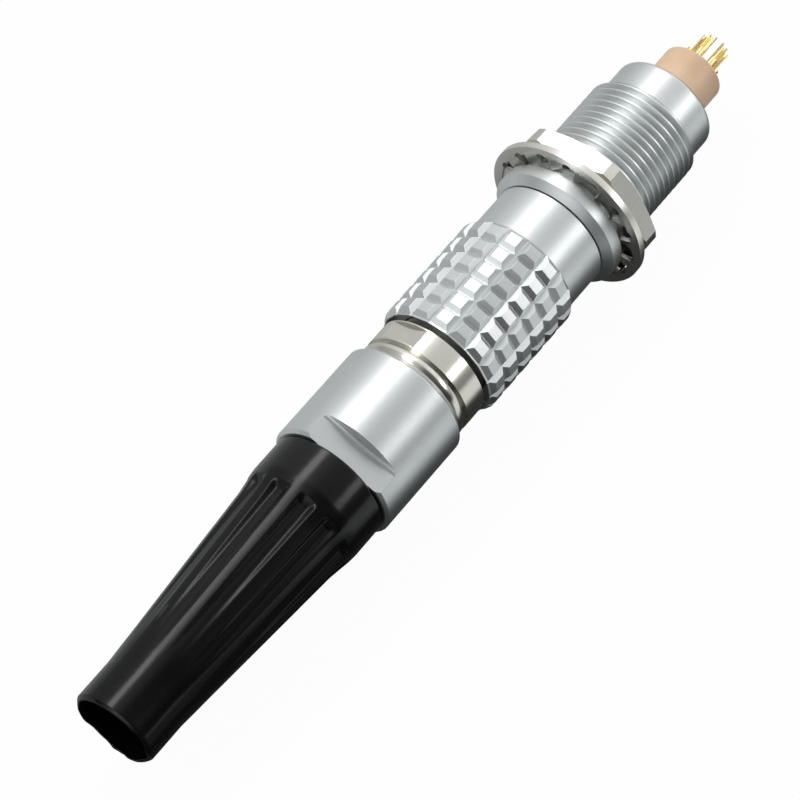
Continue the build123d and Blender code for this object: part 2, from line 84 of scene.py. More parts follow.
class Slot(Enum):
    """The record's material slots."""

    CHROME = "satin_chrome"
    NICKEL = "nickel"
    WASHER = "washer_nickel"
    GOLD = "gold"
    INSULATOR = "insulator"
    RUBBER = "boot_rubber"


class Body(Enum):
    """The bodies that the new pieces ride on."""

    RECEPTACLE = "receptacle"
    WASHER = "lock_washer"
    PANEL_NUT = "panel_nut"
    PLUG = "plug"
    SLEEVE = "release_sleeve"
    BOOT = "bend_relief"
    COLLET_NUT = "collet_nut"


# Bench work


def clear_bench() -> None:
    """Leaves edit mode, with nothing selected."""
    if bpy.context.object and bpy.context.object.mode != "OBJECT":
        bpy.ops.object.mode_set(mode="OBJECT")
    bpy.ops.object.select_all(action="DESELECT")


def take(piece: bpy.types.Object) -> None:
    """Selects one piece alone and makes it the active one."""
    clear_bench()
    piece.select_set(True)
    bpy.context.view_layer.objects.active = piece


def pick(piece: bpy.types.Object, wanted: Callable[[Vector], bool]) -> None:
    """Selects a piece's vertices by their place, in edit mode.

    Args:
        piece: The piece that is in edit mode.
        wanted: Says for a vertex's place whether it is selected.
    """
    bpy.ops.mesh.select_all(action="DESELECT")
    bpy.ops.object.mode_set(mode="OBJECT")
    for vertex in piece.data.vertices:
        vertex.select = wanted(vertex.co)
    bpy.ops.object.mode_set(mode="EDIT")


def outward(angle: float) -> Vector:
    """The unit vector that points away from the axis at an angle in degrees."""
    return Vector((0, cos(radians(angle)), sin(radians(angle))))


def turned(
    name: str, outline: Outline, steps: int = TURN_STEPS, start: float = 0, sweep: float = 360
) -> bpy.types.Object:
    """Draws an outline and spins it about the connector's axis.

    Args:
        name: The piece's name.
        outline: Points of x and radius, in order round the section, from axis to axis for a solid bar.
        steps: Steps of the spin.
        start: Angle at which the outline is drawn.
        sweep: Angle of the spin.

    Returns:
        The turned piece, in millimetres.
    """
    clear_bench()
    bpy.ops.mesh.primitive_plane_add(size=1, enter_editmode=True)
    piece = bpy.context.object
    piece.name = name
    bpy.ops.mesh.merge(type="CENTER")
    out = outward(start)
    first_x, first_radius = outline[0]
    bpy.ops.transform.translate(value=out * first_radius + Vector((first_x, 0, 0)))
    solid_bar = outline[0][1] == 0 and outline[-1][1] == 0
    for (x, radius), (next_x, next_radius) in pairwise(outline if solid_bar else [*outline, outline[0]]):
        step = out * (next_radius - radius) + Vector((next_x - x, 0, 0))
        bpy.ops.mesh.extrude_vertices_move(TRANSFORM_OT_translate={"value": step})
    bpy.ops.mesh.select_all(action="SELECT")
    bpy.ops.mesh.remove_doubles(threshold=FINE_MERGE)
    bpy.ops.mesh.select_all(action="SELECT")
    bpy.ops.mesh.spin(steps=steps, angle=-radians(sweep), center=(0, 0, 0), axis=(1, 0, 0))
    close_up(piece)
    return piece


def close_up(piece: bpy.types.Object) -> None:
    """Merges a spun mesh's seams, caps its open ends and turns its faces outwards."""
    take(piece)
    bpy.ops.object.mode_set(mode="EDIT")
    bpy.ops.mesh.select_all(action="SELECT")
    bpy.ops.mesh.remove_doubles(threshold=FINE_MERGE)
    bpy.ops.mesh.select_all(action="SELECT")
    bpy.ops.mesh.delete_loose(use_verts=True, use_edges=True, use_faces=False)
    bpy.ops.mesh.select_all(action="DESELECT")
    bpy.ops.mesh.select_non_manifold(extend=False)
    bpy.ops.mesh.edge_face_add()
    bpy.ops.mesh.select_all(action="SELECT")
    bpy.ops.mesh.normals_make_consistent(inside=False)
    bpy.ops.object.mode_set(mode="OBJECT")


def block(name: str, low: Vector, high: Vector, turn: float = 0) -> bpy.types.Object:
    """A cutter: a box between two corners, turned about the connector's axis.

    Args:
        name: The cutter's name.
        low: Its lowest corner before the turn.
        high: Its highest corner before the turn.
        turn: Angle of the turn.

    Returns:
        The cutter, in millimetres.
    """
    clear_bench()
    bpy.ops.mesh.primitive_cube_add(size=1)
    cutter = bpy.context.object
    cutter.name = name
    size = high - low
    place = Matrix.Rotation(radians(turn), 4, "X") @ Matrix.Translation((low + high) / 2)
    cutter.matrix_world = place @ Matrix.Diagonal((*size, 1))
    bpy.ops.object.transform_apply(location=True, rotation=True, scale=True)
    return cutter


def copy_turned(piece: bpy.types.Object, turn: float, shift: float = 0) -> bpy.types.Object:
    """A copy of a piece with its own mesh, turned about the connector's axis and moved along it."""
    take(piece)
    bpy.ops.object.duplicate(linked=False)
    copy = bpy.context.object
    move = Matrix.Translation((shift, 0, 0)) @ Matrix.Rotation(radians(turn), 4, "X")
    copy.matrix_world = move @ copy.matrix_world
    bpy.ops.object.transform_apply(location=True, rotation=True, scale=True)
    return copy


def place_off_axis(piece: bpy.types.Object, radius: float) -> None:
    """Moves a piece off the connector's axis, towards angle 0."""
    take(piece)
    piece.matrix_world = Matrix.Translation((0, radius, 0)) @ piece.matrix_world
    bpy.ops.object.transform_apply(location=True, rotation=True, scale=True)


def joined(piece: bpy.types.Object, others: Iterable[bpy.types.Object]) -> bpy.types.Object:
    """Joins other meshes to a piece and returns it."""
    take(piece)
    for other in others:
        other.select_set(True)
    bpy.ops.object.join()
    return piece


def carve(piece: bpy.types.Object, cutter: bpy.types.Object, operation: str = "DIFFERENCE") -> None:
    """Cuts a piece with a cutter, which is then removed.

    Args:
        piece: The piece to cut.
        cutter: The closed mesh that cuts it.
        operation: The boolean's operation.
    """
    take(piece)
    cut = piece.modifiers.new("Cut", "BOOLEAN")
    cut.operation, cut.solver, cut.object = operation, "EXACT", cutter
    bpy.ops.object.modifier_apply(modifier=cut.name)
    bpy.data.objects.remove(cutter, do_unlink=True)


def soften(piece: bpy.types.Object, width: float, segments: int = 2, angle: float = 30) -> None:
    """Rounds a piece's sharp edges.

    Args:
        piece: The piece, in millimetres.
        width: Width of the rounding.
        segments: Faces across the rounding.
        angle: Edges sharper than this are rounded.
    """
    take(piece)
    bevel = piece.modifiers.new("Soft edges", "BEVEL")
    bevel.width, bevel.segments = width, segments
    bevel.limit_method, bevel.angle_limit = "ANGLE", radians(angle)
    bpy.ops.object.modifier_apply(modifier=bevel.name)


def rounded_corner(x: float, radius: float, size: float, points: int = 6) -> list[tuple[float, float]]:
    """Points of a quarter round at an outer rear corner.

    Args:
        x: Station of the end face.
        radius: Radius of the barrel that it rounds off.
        size: Size of the rounding.
        points: Number of steps.

    Returns:
        Points from the barrel to the end face.
    """
    turns = [pi / 2 * i / points for i in range(points + 1)]
    return [(x - size + size * sin(t), radius - size + size * cos(t)) for t in turns]


def hand_in(
    piece: bpy.types.Object, body: Body, slot: Slot, finish: bpy.types.Material, *nodes: str
) -> bpy.types.Object:
    """Brings a finished piece to metres, dresses it and hangs it on its body.

    Args:
        piece: The piece, in millimetres.
        body: The body that it rides on.
        slot: The record's slot of its finish; not used.
        finish: Its material.
        nodes: The CAD nodes that it stands for.

    Returns:
        The piece.
    """
    take(piece)
    bpy.ops.object.shade_smooth_by_angle(angle=radians(SMOOTH_ANGLE))
    weighted = piece.modifiers.new("Flat faces", "WEIGHTED_NORMAL")
    weighted.keep_sharp = True
    bpy.ops.object.modifier_apply(modifier=weighted.name)
    piece.data.transform(Matrix.Scale(MM, 4) @ piece.matrix_world)
    piece.matrix_world = Matrix.Identity(4)
    piece.data.materials.clear()
    piece.data.materials.append(finish)
    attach(piece, body.value)
    if nodes:
        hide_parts(*nodes)
    LOG.info("%s: %d faces on %s", piece.name, len(piece.data.polygons), body.value)
    return piece


# Shader work


class Signal:
    """A value in a shader tree that Python's arithmetic can use."""

    def __init__(self, maker: "NodeMaker", socket: bpy.types.NodeSocket) -> None:
        """Wraps an output socket of the maker's tree."""
        self.maker = maker
        self.socket = socket

    def _math(self, operation: str, first: "Signal | float", second: "Signal | float") -> "Signal":
        """Adds one Math node on two values."""
        return self.maker.node("ShaderNodeMath", {"operation": operation}, {0: first, 1: second})

    def __add__(self, other: "Signal | float") -> "Signal":
        """This value plus another."""
        return self._math("ADD", self, other)

    def __radd__(self, other: float) -> "Signal":
        """A number plus this value."""
        return self._math("ADD", other, self)

    def __sub__(self, other: "Signal | float") -> "Signal":
        """This value less another."""
        return self._math("SUBTRACT", self, other)

    def __rsub__(self, other: float) -> "Signal":
        """A number less this value."""
        return self._math("SUBTRACT", other, self)

    def __mul__(self, other: "Signal | float") -> "Signal":
        """This value times another."""
        return self._math("MULTIPLY", self, other)

    def __rmul__(self, other: float) -> "Signal":
        """A number times this value."""
        return self._math("MULTIPLY", other, self)

    def above(self, edge: float, top: float) -> "Signal":
        """A mask that rises from 0 at edge to 1 at top."""
        settings = {"interpolation_type": "SMOOTHSTEP"}
        return self.maker.node("ShaderNodeMapRange", settings, {0: self, 1: edge, 2: top})


class NodeMaker:
    """Adds nodes to the tree of one material or world."""

    def __init__(self, owner: bpy.types.Material | bpy.types.World) -> None:
        """Empties the owner's tree and works in it."""
        owner.use_nodes = True
        self.tree = owner.node_tree
        self.tree.nodes.clear()

    def node(
        self, kind: str, settings: dict | None = None, inputs: dict | None = None, output: int | str = 0
    ) -> Signal:
        """Adds one node.

        Args:
            kind: The node's type.
            settings: Its settings, with "stops" for a ramp's places and colours.
            inputs: Values or signals by the name or number of the socket.
            output: The output that is handed back.

        Returns:
            The chosen output as a signal.
        """
        made = self.tree.nodes.new(kind)
        for key, value in (settings or {}).items():
            if key == "stops":
                self._set_stops(made.color_ramp, value)
            else:
                setattr(made, key, value)
        for key, value in (inputs or {}).items():
            socket = made.inputs[key]
            if isinstance(value, Signal):
                self.tree.links.new(value.socket, socket)
            elif isinstance(value, tuple) and len(value) == 3 and socket.type == "RGBA":
                socket.default_value = (*value, 1)
            else:
                socket.default_value = value
        return Signal(self, made.outputs[output] if made.outputs else None)

    @staticmethod
    def _set_stops(ramp: bpy.types.ColorRamp, stops: Sequence[tuple[float, Colour]]) -> None:
        """Gives a ramp its places and colours."""
        while len(ramp.elements) < len(stops):
            ramp.elements.new(1)
        for element, (place, colour) in zip(ramp.elements, stops):
            element.position, element.color = place, (*colour, 1)

    def place(self, stretch: tuple[float, float, float] = (1, 1, 1)) -> Signal:
        """The place on the piece, stretched along the axes."""
        here = self.node("ShaderNodeTexCoord", output="Object")
        return self.node("ShaderNodeMapping", {"vector_type": "POINT"}, {"Vector": here, "Scale": stretch})

    def noise(
        self, scale: float, detail: float = 3, stretch: tuple[float, float, float] = (1, 1, 1)
    ) -> Signal:
        """Soft noise from 0 to 1 on the piece's own coordinates.

        Args:
            scale: Waves per metre.
            detail: Octaves.
            stretch: Stretch of the pattern along the axes.

        Returns:
            The noise's factor.
        """
        return self.node(
            "ShaderNodeTexNoise",
            {},
            {"Vector": self.place(stretch), "Scale": scale, "Detail": detail},
            "Fac",
        )

    def mix(self, factor: Signal | float, first: Colour | Signal, second: Colour | Signal) -> Signal:
        """A blend of two colours."""
        return self.node("ShaderNodeMix", {"data_type": "RGBA"}, {0: factor, 6: first, 7: second}, 2)

    def bump(self, height: Signal, strength: float, distance: float) -> Signal:
        """A normal that follows a height.

        Args:
            height: The height as a share of the distance.
            strength: How much of it shows.
            distance: The height of 1, in metres.

        Returns:
            The bumped normal.
        """
        inputs = {"Height": height, "Strength": strength, "Distance": distance}
        return self.node("ShaderNodeBump", {}, inputs)

    def surface(self, shader: Signal, kind: str = "ShaderNodeOutputMaterial") -> None:
        """Ends the tree in its output node."""
        self.node(kind, {}, {"Surface": shader})


@dataclass(frozen=True)
class MetalFinish:
    """A plated metal: its two tones, its gloss and the marks that the tool or the blasting left."""

    name: str
    tone: Colour
    shade: Colour
    roughness: float
    roughness_spread: float = 0.06
    grain_scale: float = 9000
    grain_stretch: tuple[float, float, float] = (1, 1, 1)
    grain_height: float = 0.4e-6
    grain_detail: float = 4
    cloud_scale: float = 260
    cloud_detail: float = 3
    cloud_band: tuple[float, float] = (0.35, 0.68)
    cloud_share: float = 0.7

    def material(self) -> bpy.types.Material:
        """Builds the finish as a material."""
        made = bpy.data.materials.new(self.name)
        maker = NodeMaker(made)
        grain = maker.noise(self.grain_scale, self.grain_detail, self.grain_stretch)
        cloud = maker.noise(self.cloud_scale, self.cloud_detail)
        blend = cloud.above(*self.cloud_band) * self.cloud_share + grain * (1 - self.cloud_share)
        inputs = {
            "Base Color": maker.mix(blend, self.tone, self.shade),
            "Metallic": 1.0,
            "Roughness": self.roughness + (grain + cloud - 1.0) * self.roughness_spread,
            "Normal": maker.bump(grain, 1, self.grain_height),
        }
        maker.surface(maker.node("ShaderNodeBsdfPrincipled", {}, inputs))
        return made


@dataclass(frozen=True)
class RubberFinish:
    """Black moulded rubber with a soft gloss, a faint grain and a few light scuffs."""

    name: str = "boot rubber"
    tone: Colour = (0.0022, 0.0024, 0.0026)
    scuff_tone: Colour = (0.045, 0.047, 0.048)
    roughness: float = 0.12
    gloss_level: float = 0.36
    fluted: tuple[float, float] = (-0.0455, -0.0305)
    rear_fade: float = 0.003
    front_fade: tuple[float, float] = (0.002, -0.001)
    grain_scale: float = 5200
    grain_detail: float = 5
    cloud_scale: float = 240
    cloud_detail: float = 4
    scuff_scale: float = 900
    scuff_stretch: tuple[float, float, float] = (0.16, 1, 1)
    scuff_band: tuple[float, float] = (0.66, 0.72)
    scuff_share: float = 0.6
    patch_scale: float = 380
    patch_band: tuple[float, float] = (0.52, 0.62)
    flute_dulling: float = 0.07
    cloud_dulling: float = 0.08
    grain_dulling: float = 0.04
    scuff_dulling: float = 0.15
    grain_relief: float = 0.6
    cloud_relief: float = 2.2
    scuff_relief: float = 0.8
    relief_height: float = 2.2e-6

    def material(self) -> bpy.types.Material:
        """Builds the finish as a material."""
        made = bpy.data.materials.new(self.name)
        maker = NodeMaker(made)
        grain = maker.noise(self.grain_scale, self.grain_detail)
        cloud = maker.noise(self.cloud_scale, self.cloud_detail)
        along = maker.node("ShaderNodeSeparateXYZ", {}, {0: maker.place()}, "X")
        rear, front = self.fluted
        outside, inside = self.front_fade
        duller = along.above(rear, rear + self.rear_fade) * along.above(front + outside, front + inside)
        scratches = maker.noise(self.scuff_scale, 2, self.scuff_stretch).above(*self.scuff_band)
        patches = maker.noise(self.patch_scale, 2).above(*self.patch_band)
        scuffs = scratches * patches
        moulded = self.roughness + duller * self.flute_dulling + cloud * self.cloud_dulling
        relief = grain * self.grain_relief + cloud * self.cloud_relief - scuffs * self.scuff_relief
        inputs = {
            "Base Color": maker.mix(scuffs * self.scuff_share, self.tone, self.scuff_tone),
            "Roughness": moulded + grain * self.grain_dulling + scuffs * self.scuff_dulling,
            "Normal": maker.bump(relief, 1, self.relief_height),
            "Specular IOR Level": self.gloss_level,
        }
        maker.surface(maker.node("ShaderNodeBsdfPrincipled", {}, inputs))
        return made


@dataclass(frozen=True)
class InsulatorFinish:
    """Tan moulded plastic, nearly matt, a little cloudy."""

    name: str = "tan insulator"
    tone: Colour = (0.87, 0.615, 0.415)
    shade: Colour = (0.775, 0.53, 0.345)
    roughness: float = 0.42
    roughness_spread: float = 0.1
    grain_scale: float = 8000
    grain_detail: float = 3
    grain_height: float = 1.2e-6
    cloud_scale: float = 420
    cloud_detail: float = 4
    cloud_band: tuple[float, float] = (0.35, 0.7)
    refraction: float = 1.5

    def material(self) -> bpy.types.Material:
        """Builds the finish as a material."""
        made = bpy.data.materials.new(self.name)
        maker = NodeMaker(made)
        cloud = maker.noise(self.cloud_scale, self.cloud_detail)
        grain = maker.noise(self.grain_scale, self.grain_detail)
        inputs = {
            "Base Color": maker.mix(cloud.above(*self.cloud_band), self.tone, self.shade),
            "Roughness": self.roughness + (grain - 0.5) * self.roughness_spread,
            "Normal": maker.bump(grain, 1, self.grain_height),
            "IOR": self.refraction,
        }
        maker.surface(maker.node("ShaderNodeBsdfPrincipled", {}, inputs))
        return made


@dataclass(frozen=True)
class Finishes:
    """The finishes of the connector, one for each slot."""

    chrome: bpy.types.Material
    nickel: bpy.types.Material
    milled_nickel: bpy.types.Material
    washer: bpy.types.Material
    gold: bpy.types.Material
    insulator: bpy.types.Material
    rubber: bpy.types.Material

    @classmethod
    def mixed(cls) -> "Finishes":
        """Mixes every finish."""
        return cls(
            chrome=MetalFinish("satin chrome", (0.755, 0.79, 0.792), (0.685, 0.718, 0.718), 0.4).material(),
            nickel=MetalFinish(
                name="turned nickel",
                tone=(0.785, 0.772, 0.705),
                shade=(0.70, 0.686, 0.615),
                roughness=0.2,
                roughness_spread=0.05,
                grain_scale=5200,
                grain_stretch=(4, 0.25, 0.25),
                grain_height=0.3e-6,
            ).material(),
            milled_nickel=MetalFinish(
                name="milled nickel",
                tone=(0.79, 0.80, 0.73),
                shade=(0.69, 0.70, 0.63),
                roughness=0.24,
                roughness_spread=0.1,
                grain_scale=5200,
                grain_stretch=(0.12, 1, 1),
                grain_height=1.1e-6,
            ).material(),
            washer=MetalFinish(
                "washer nickel", (0.84, 0.825, 0.77), (0.72, 0.705, 0.65), 0.3, 0.1
            ).material(),
            gold=MetalFinish("gold plating", (1.0, 0.80, 0.40), (0.95, 0.72, 0.31), 0.3).material(),
            insulator=InsulatorFinish().material(),
            rubber=RubberFinish().material(),
        )

    def for_slot(self, slot: str) -> bpy.types.Material:
        """The finish that a CAD node of a slot gets."""
        table = {
            Slot.CHROME: self.chrome,
            Slot.NICKEL: self.nickel,
            Slot.WASHER: self.washer,
            Slot.GOLD: self.gold,
            Slot.INSULATOR: self.insulator,
            Slot.RUBBER: self.rubber,
        }
        return table[Slot(slot)]


# Sub-assemblies


@dataclass
class Receptacle:
    """The panel half: shell with a fine thread, insulator and six socket contacts."""

    finishes: Finishes
    flange_radius: float = 5.0
    flange_band: float = 0.95
    cone_length: float = 0.5
    cone_depth: float = 0.6
    bore_radius: float = 3.3
    mouth_lead_in: float = 0.2
    thread_radius: float = 4.45
    thread_pitch: float = 0.6
    thread_depth: float = 0.34
    thread_crest: float = 0.11
    thread_start: float = 0.6
    thread_length: float = 9.8
    thread_chamfer: float = 0.25
    rear_barrel_radius: float = 3.95
    rear_barrel_length: float = 2.75
    rear_barrel_round: float = 0.42
    latch_groove: tuple[float, float, float] = (0.9, 2.3, 3.76)
    crown_recess: tuple[float, float] = (3.3, 3.6)
    insert_seat: float = 6.9
    chamber: tuple[float, float] = (10.6, 2.92)
    neck_radius: float = 2.36
    neck_reach: float = 3.5
    neck_round: float = 0.25
    tower_radius: float = 2.15
    tower_front: float = 1.2
    seat_play: float = 0.02
    key_angle: float = 135
    key_width: float = 0.8
    key_reach: float = 2.9
    contact_count: int = 6
    contact_circle: float = 1.1
    contact_angle: float = 19.7
    contact_radius: float = 0.3
    barrel_radius: float = 0.43
    barrel_bore: float = 0.28
    barrel_bore_end: float = 4.55
    barrel_length: float = 5.2
    cup_length: float = 2.7
    cup_bore: float = 0.21
    cup_depth: float = 2.3
    scoop_length: float = 1.5
    contact_steps: int = 36
    scoop_floor: float = 0.05
    cutter_proud: float = 0.06
    shell_edge: float = 0.025
    insulator_edge: float = 0.06
    contact_edge: float = 0.02

    @property
    def rear_face(self) -> float:
        """Station of the rear barrel's end."""
        return self.thread_length + self.rear_barrel_length

    @property
    def insulator_end(self) -> float:
        """Station of the insulator's rear face."""
        return self.rear_face + self.neck_reach

    def build(self) -> None:
        """Builds and dresses the shell, the insulator and the contacts."""
        hand_in(self.shell(), Body.RECEPTACLE, Slot.CHROME, self.finishes.chrome, "receptacle_shell")
        tan = self.finishes.insulator
        hand_in(self.insulator(), Body.RECEPTACLE, Slot.INSULATOR, tan, "receptacle_insulator")
        contact = self.contact()
        for i in range(self.contact_count):
            copy = copy_turned(contact, self.contact_angle + 360 * i / self.contact_count)
            copy.name = f"solder_cup_{i + 1}"
            hand_in(copy, Body.RECEPTACLE, Slot.GOLD, self.finishes.gold, f"socket_contact_{i + 1}")
        bpy.data.objects.remove(contact, do_unlink=True)

    def shell(self) -> bpy.types.Object:
        """Turns the shell and cuts its thread."""
        mouth = -(self.flange_band + self.cone_length)
        groove_start, groove_end, groove_radius = self.latch_groove
        recess_start, recess_radius = self.crown_recess
        chamber_end, chamber_radius = self.chamber
        neck_bore = self.neck_radius + self.seat_play
        piece = turned(
            "threaded_shell",
            [
                (mouth, self.bore_radius + self.mouth_lead_in),
                (mouth, self.flange_radius - self.cone_depth),
                (-self.flange_band, self.flange_radius),
                (0, self.flange_radius),
                (0, self.thread_radius),
                (self.thread_length - self.thread_chamfer, self.thread_radius),
                (self.thread_length, self.thread_radius - self.thread_chamfer),
                (self.thread_length, self.rear_barrel_radius),
                *rounded_corner(self.rear_face, self.rear_barrel_radius, self.rear_barrel_round),
                (self.rear_face, neck_bore),
                (chamber_end, neck_bore),
                (chamber_end, chamber_radius),
                (self.insert_seat, chamber_radius),
                (self.insert_seat, recess_radius),
                (recess_start, recess_radius),
                (recess_start, self.bore_radius),
                (groove_end, self.bore_radius),
                (groove_end, groove_radius),
                (groove_start, groove_radius),
                (groove_start, self.bore_radius),
                (mouth + self.mouth_lead_in, self.bore_radius),
            ],
        )
        soften(piece, self.shell_edge)
        carve(piece, self.thread_cutter())
        return piece

    def thread_cutter(self) -> bpy.types.Object:
        """A helical vee that runs from behind the flange and out through the barrel's end."""
        clear_bench()
        proud = self.cutter_proud
        half = (self.thread_pitch - self.thread_crest) / 2
        half_proud = half * (1 + proud / self.thread_depth)
        root = self.thread_radius - self.thread_depth
        bpy.ops.mesh.primitive_plane_add(size=1, enter_editmode=True)
        cutter = bpy.context.object
        bpy.ops.mesh.merge(type="CENTER")
        bpy.ops.transform.translate(value=(self.thread_start - half_proud, self.thread_radius + proud, 0))
        bpy.ops.mesh.extrude_vertices_move(
            TRANSFORM_OT_translate={"value": (half_proud, root - self.thread_radius - proud, 0)}
        )
        bpy.ops.mesh.extrude_vertices_move(
            TRANSFORM_OT_translate={"value": (half_proud, self.thread_radius + proud - root, 0)}
        )
        bpy.ops.mesh.extrude_vertices_move(TRANSFORM_OT_translate={"value": (-2 * half_proud, 0, 0)})
        bpy.ops.mesh.select_all(action="SELECT")
        bpy.ops.mesh.remove_doubles(threshold=FINE_MERGE)
        bpy.ops.object.mode_set(mode="OBJECT")
        turns = int((self.thread_length - self.thread_start) / self.thread_pitch) + 2
        helix = cutter.modifiers.new("Helix", "SCREW")
        helix.axis, helix.angle, helix.screw_offset = "X", tau, self.thread_pitch
        helix.iterations, helix.steps, helix.render_steps = turns, TURN_STEPS, TURN_STEPS
        bpy.ops.object.modifier_apply(modifier=helix.name)
        close_up(cutter)
        return cutter

    def insulator(self) -> bpy.types.Object:
        """Turns the insulator, with its key and the holes of the contacts."""
        chamber_end, chamber_radius = self.chamber
        end = self.insulator_end
        piece = turned(
            "tan_insulator",
            [
                (self.tower_front, 0),
                (self.tower_front, self.tower_radius),
                (self.insert_seat, self.tower_radius),
                (self.insert_seat, chamber_radius - self.seat_play),
                (chamber_end - self.seat_play, chamber_radius - self.seat_play),
                (chamber_end - self.seat_play, self.neck_radius),
                *rounded_corner(end, self.neck_radius, self.neck_round),
                (end, 0),
            ],
        )
        key = block(
            "key",
            Vector((self.tower_front + self.seat_play, self.tower_radius / 2, -self.key_width / 2)),
            Vector((self.insert_seat - 1, self.key_reach, self.key_width / 2)),
            self.key_angle,
        )
        carve(piece, key, "UNION")
        soften(piece, self.insulator_edge)
        barrel_end = self.tower_front + self.barrel_length
        drill = turned(
            "stepped_drill",
            [
                (self.tower_front - 1, 0),
                (self.tower_front - 1, self.barrel_radius + self.seat_play),
                (barrel_end, self.barrel_radius + self.seat_play),
                (barrel_end, self.contact_radius + self.seat_play),
                (end + 1, self.contact_radius + self.seat_play),
                (end + 1, 0),
            ],
            self.contact_steps,
        )
        place_off_axis(drill, self.contact_circle)
        turns = [self.contact_angle + 360 * i / self.contact_count for i in range(self.contact_count)]
        drills = [copy_turned(drill, turn) for turn in turns]
        bpy.data.objects.remove(drill, do_unlink=True)
        carve(piece, joined(drills[0], drills[1:]))
        return piece

    def contact(self) -> bpy.types.Object:
        """One socket contact at angle 0: a barrel in front and a scooped cup behind."""
        front = self.tower_front + self.seat_play
        barrel_end = self.tower_front + self.barrel_length
        end = self.insulator_end + self.cup_length
        bottom = end - self.cup_depth
        piece = turned(
            "contact",
            [
                (self.barrel_bore_end, 0),
                (self.barrel_bore_end, self.barrel_bore),
                (front, self.barrel_bore),
                (front, self.barrel_radius),
                (barrel_end, self.barrel_radius),
                (barrel_end, self.contact_radius),
                (end, self.contact_radius),
                (end, self.cup_bore),
                (bottom, self.cup_bore),
                (bottom - self.cup_bore / 2, 0),
            ],
            self.contact_steps,
        )
        scoop = block(
            "scoop",
            Vector((end - self.scoop_length, self.scoop_floor, -1)),
            Vector((end + 1, 1, 1)),
        )
        carve(piece, scoop)
        soften(piece, self.contact_edge)
        place_off_axis(piece, self.contact_circle)
        return piece


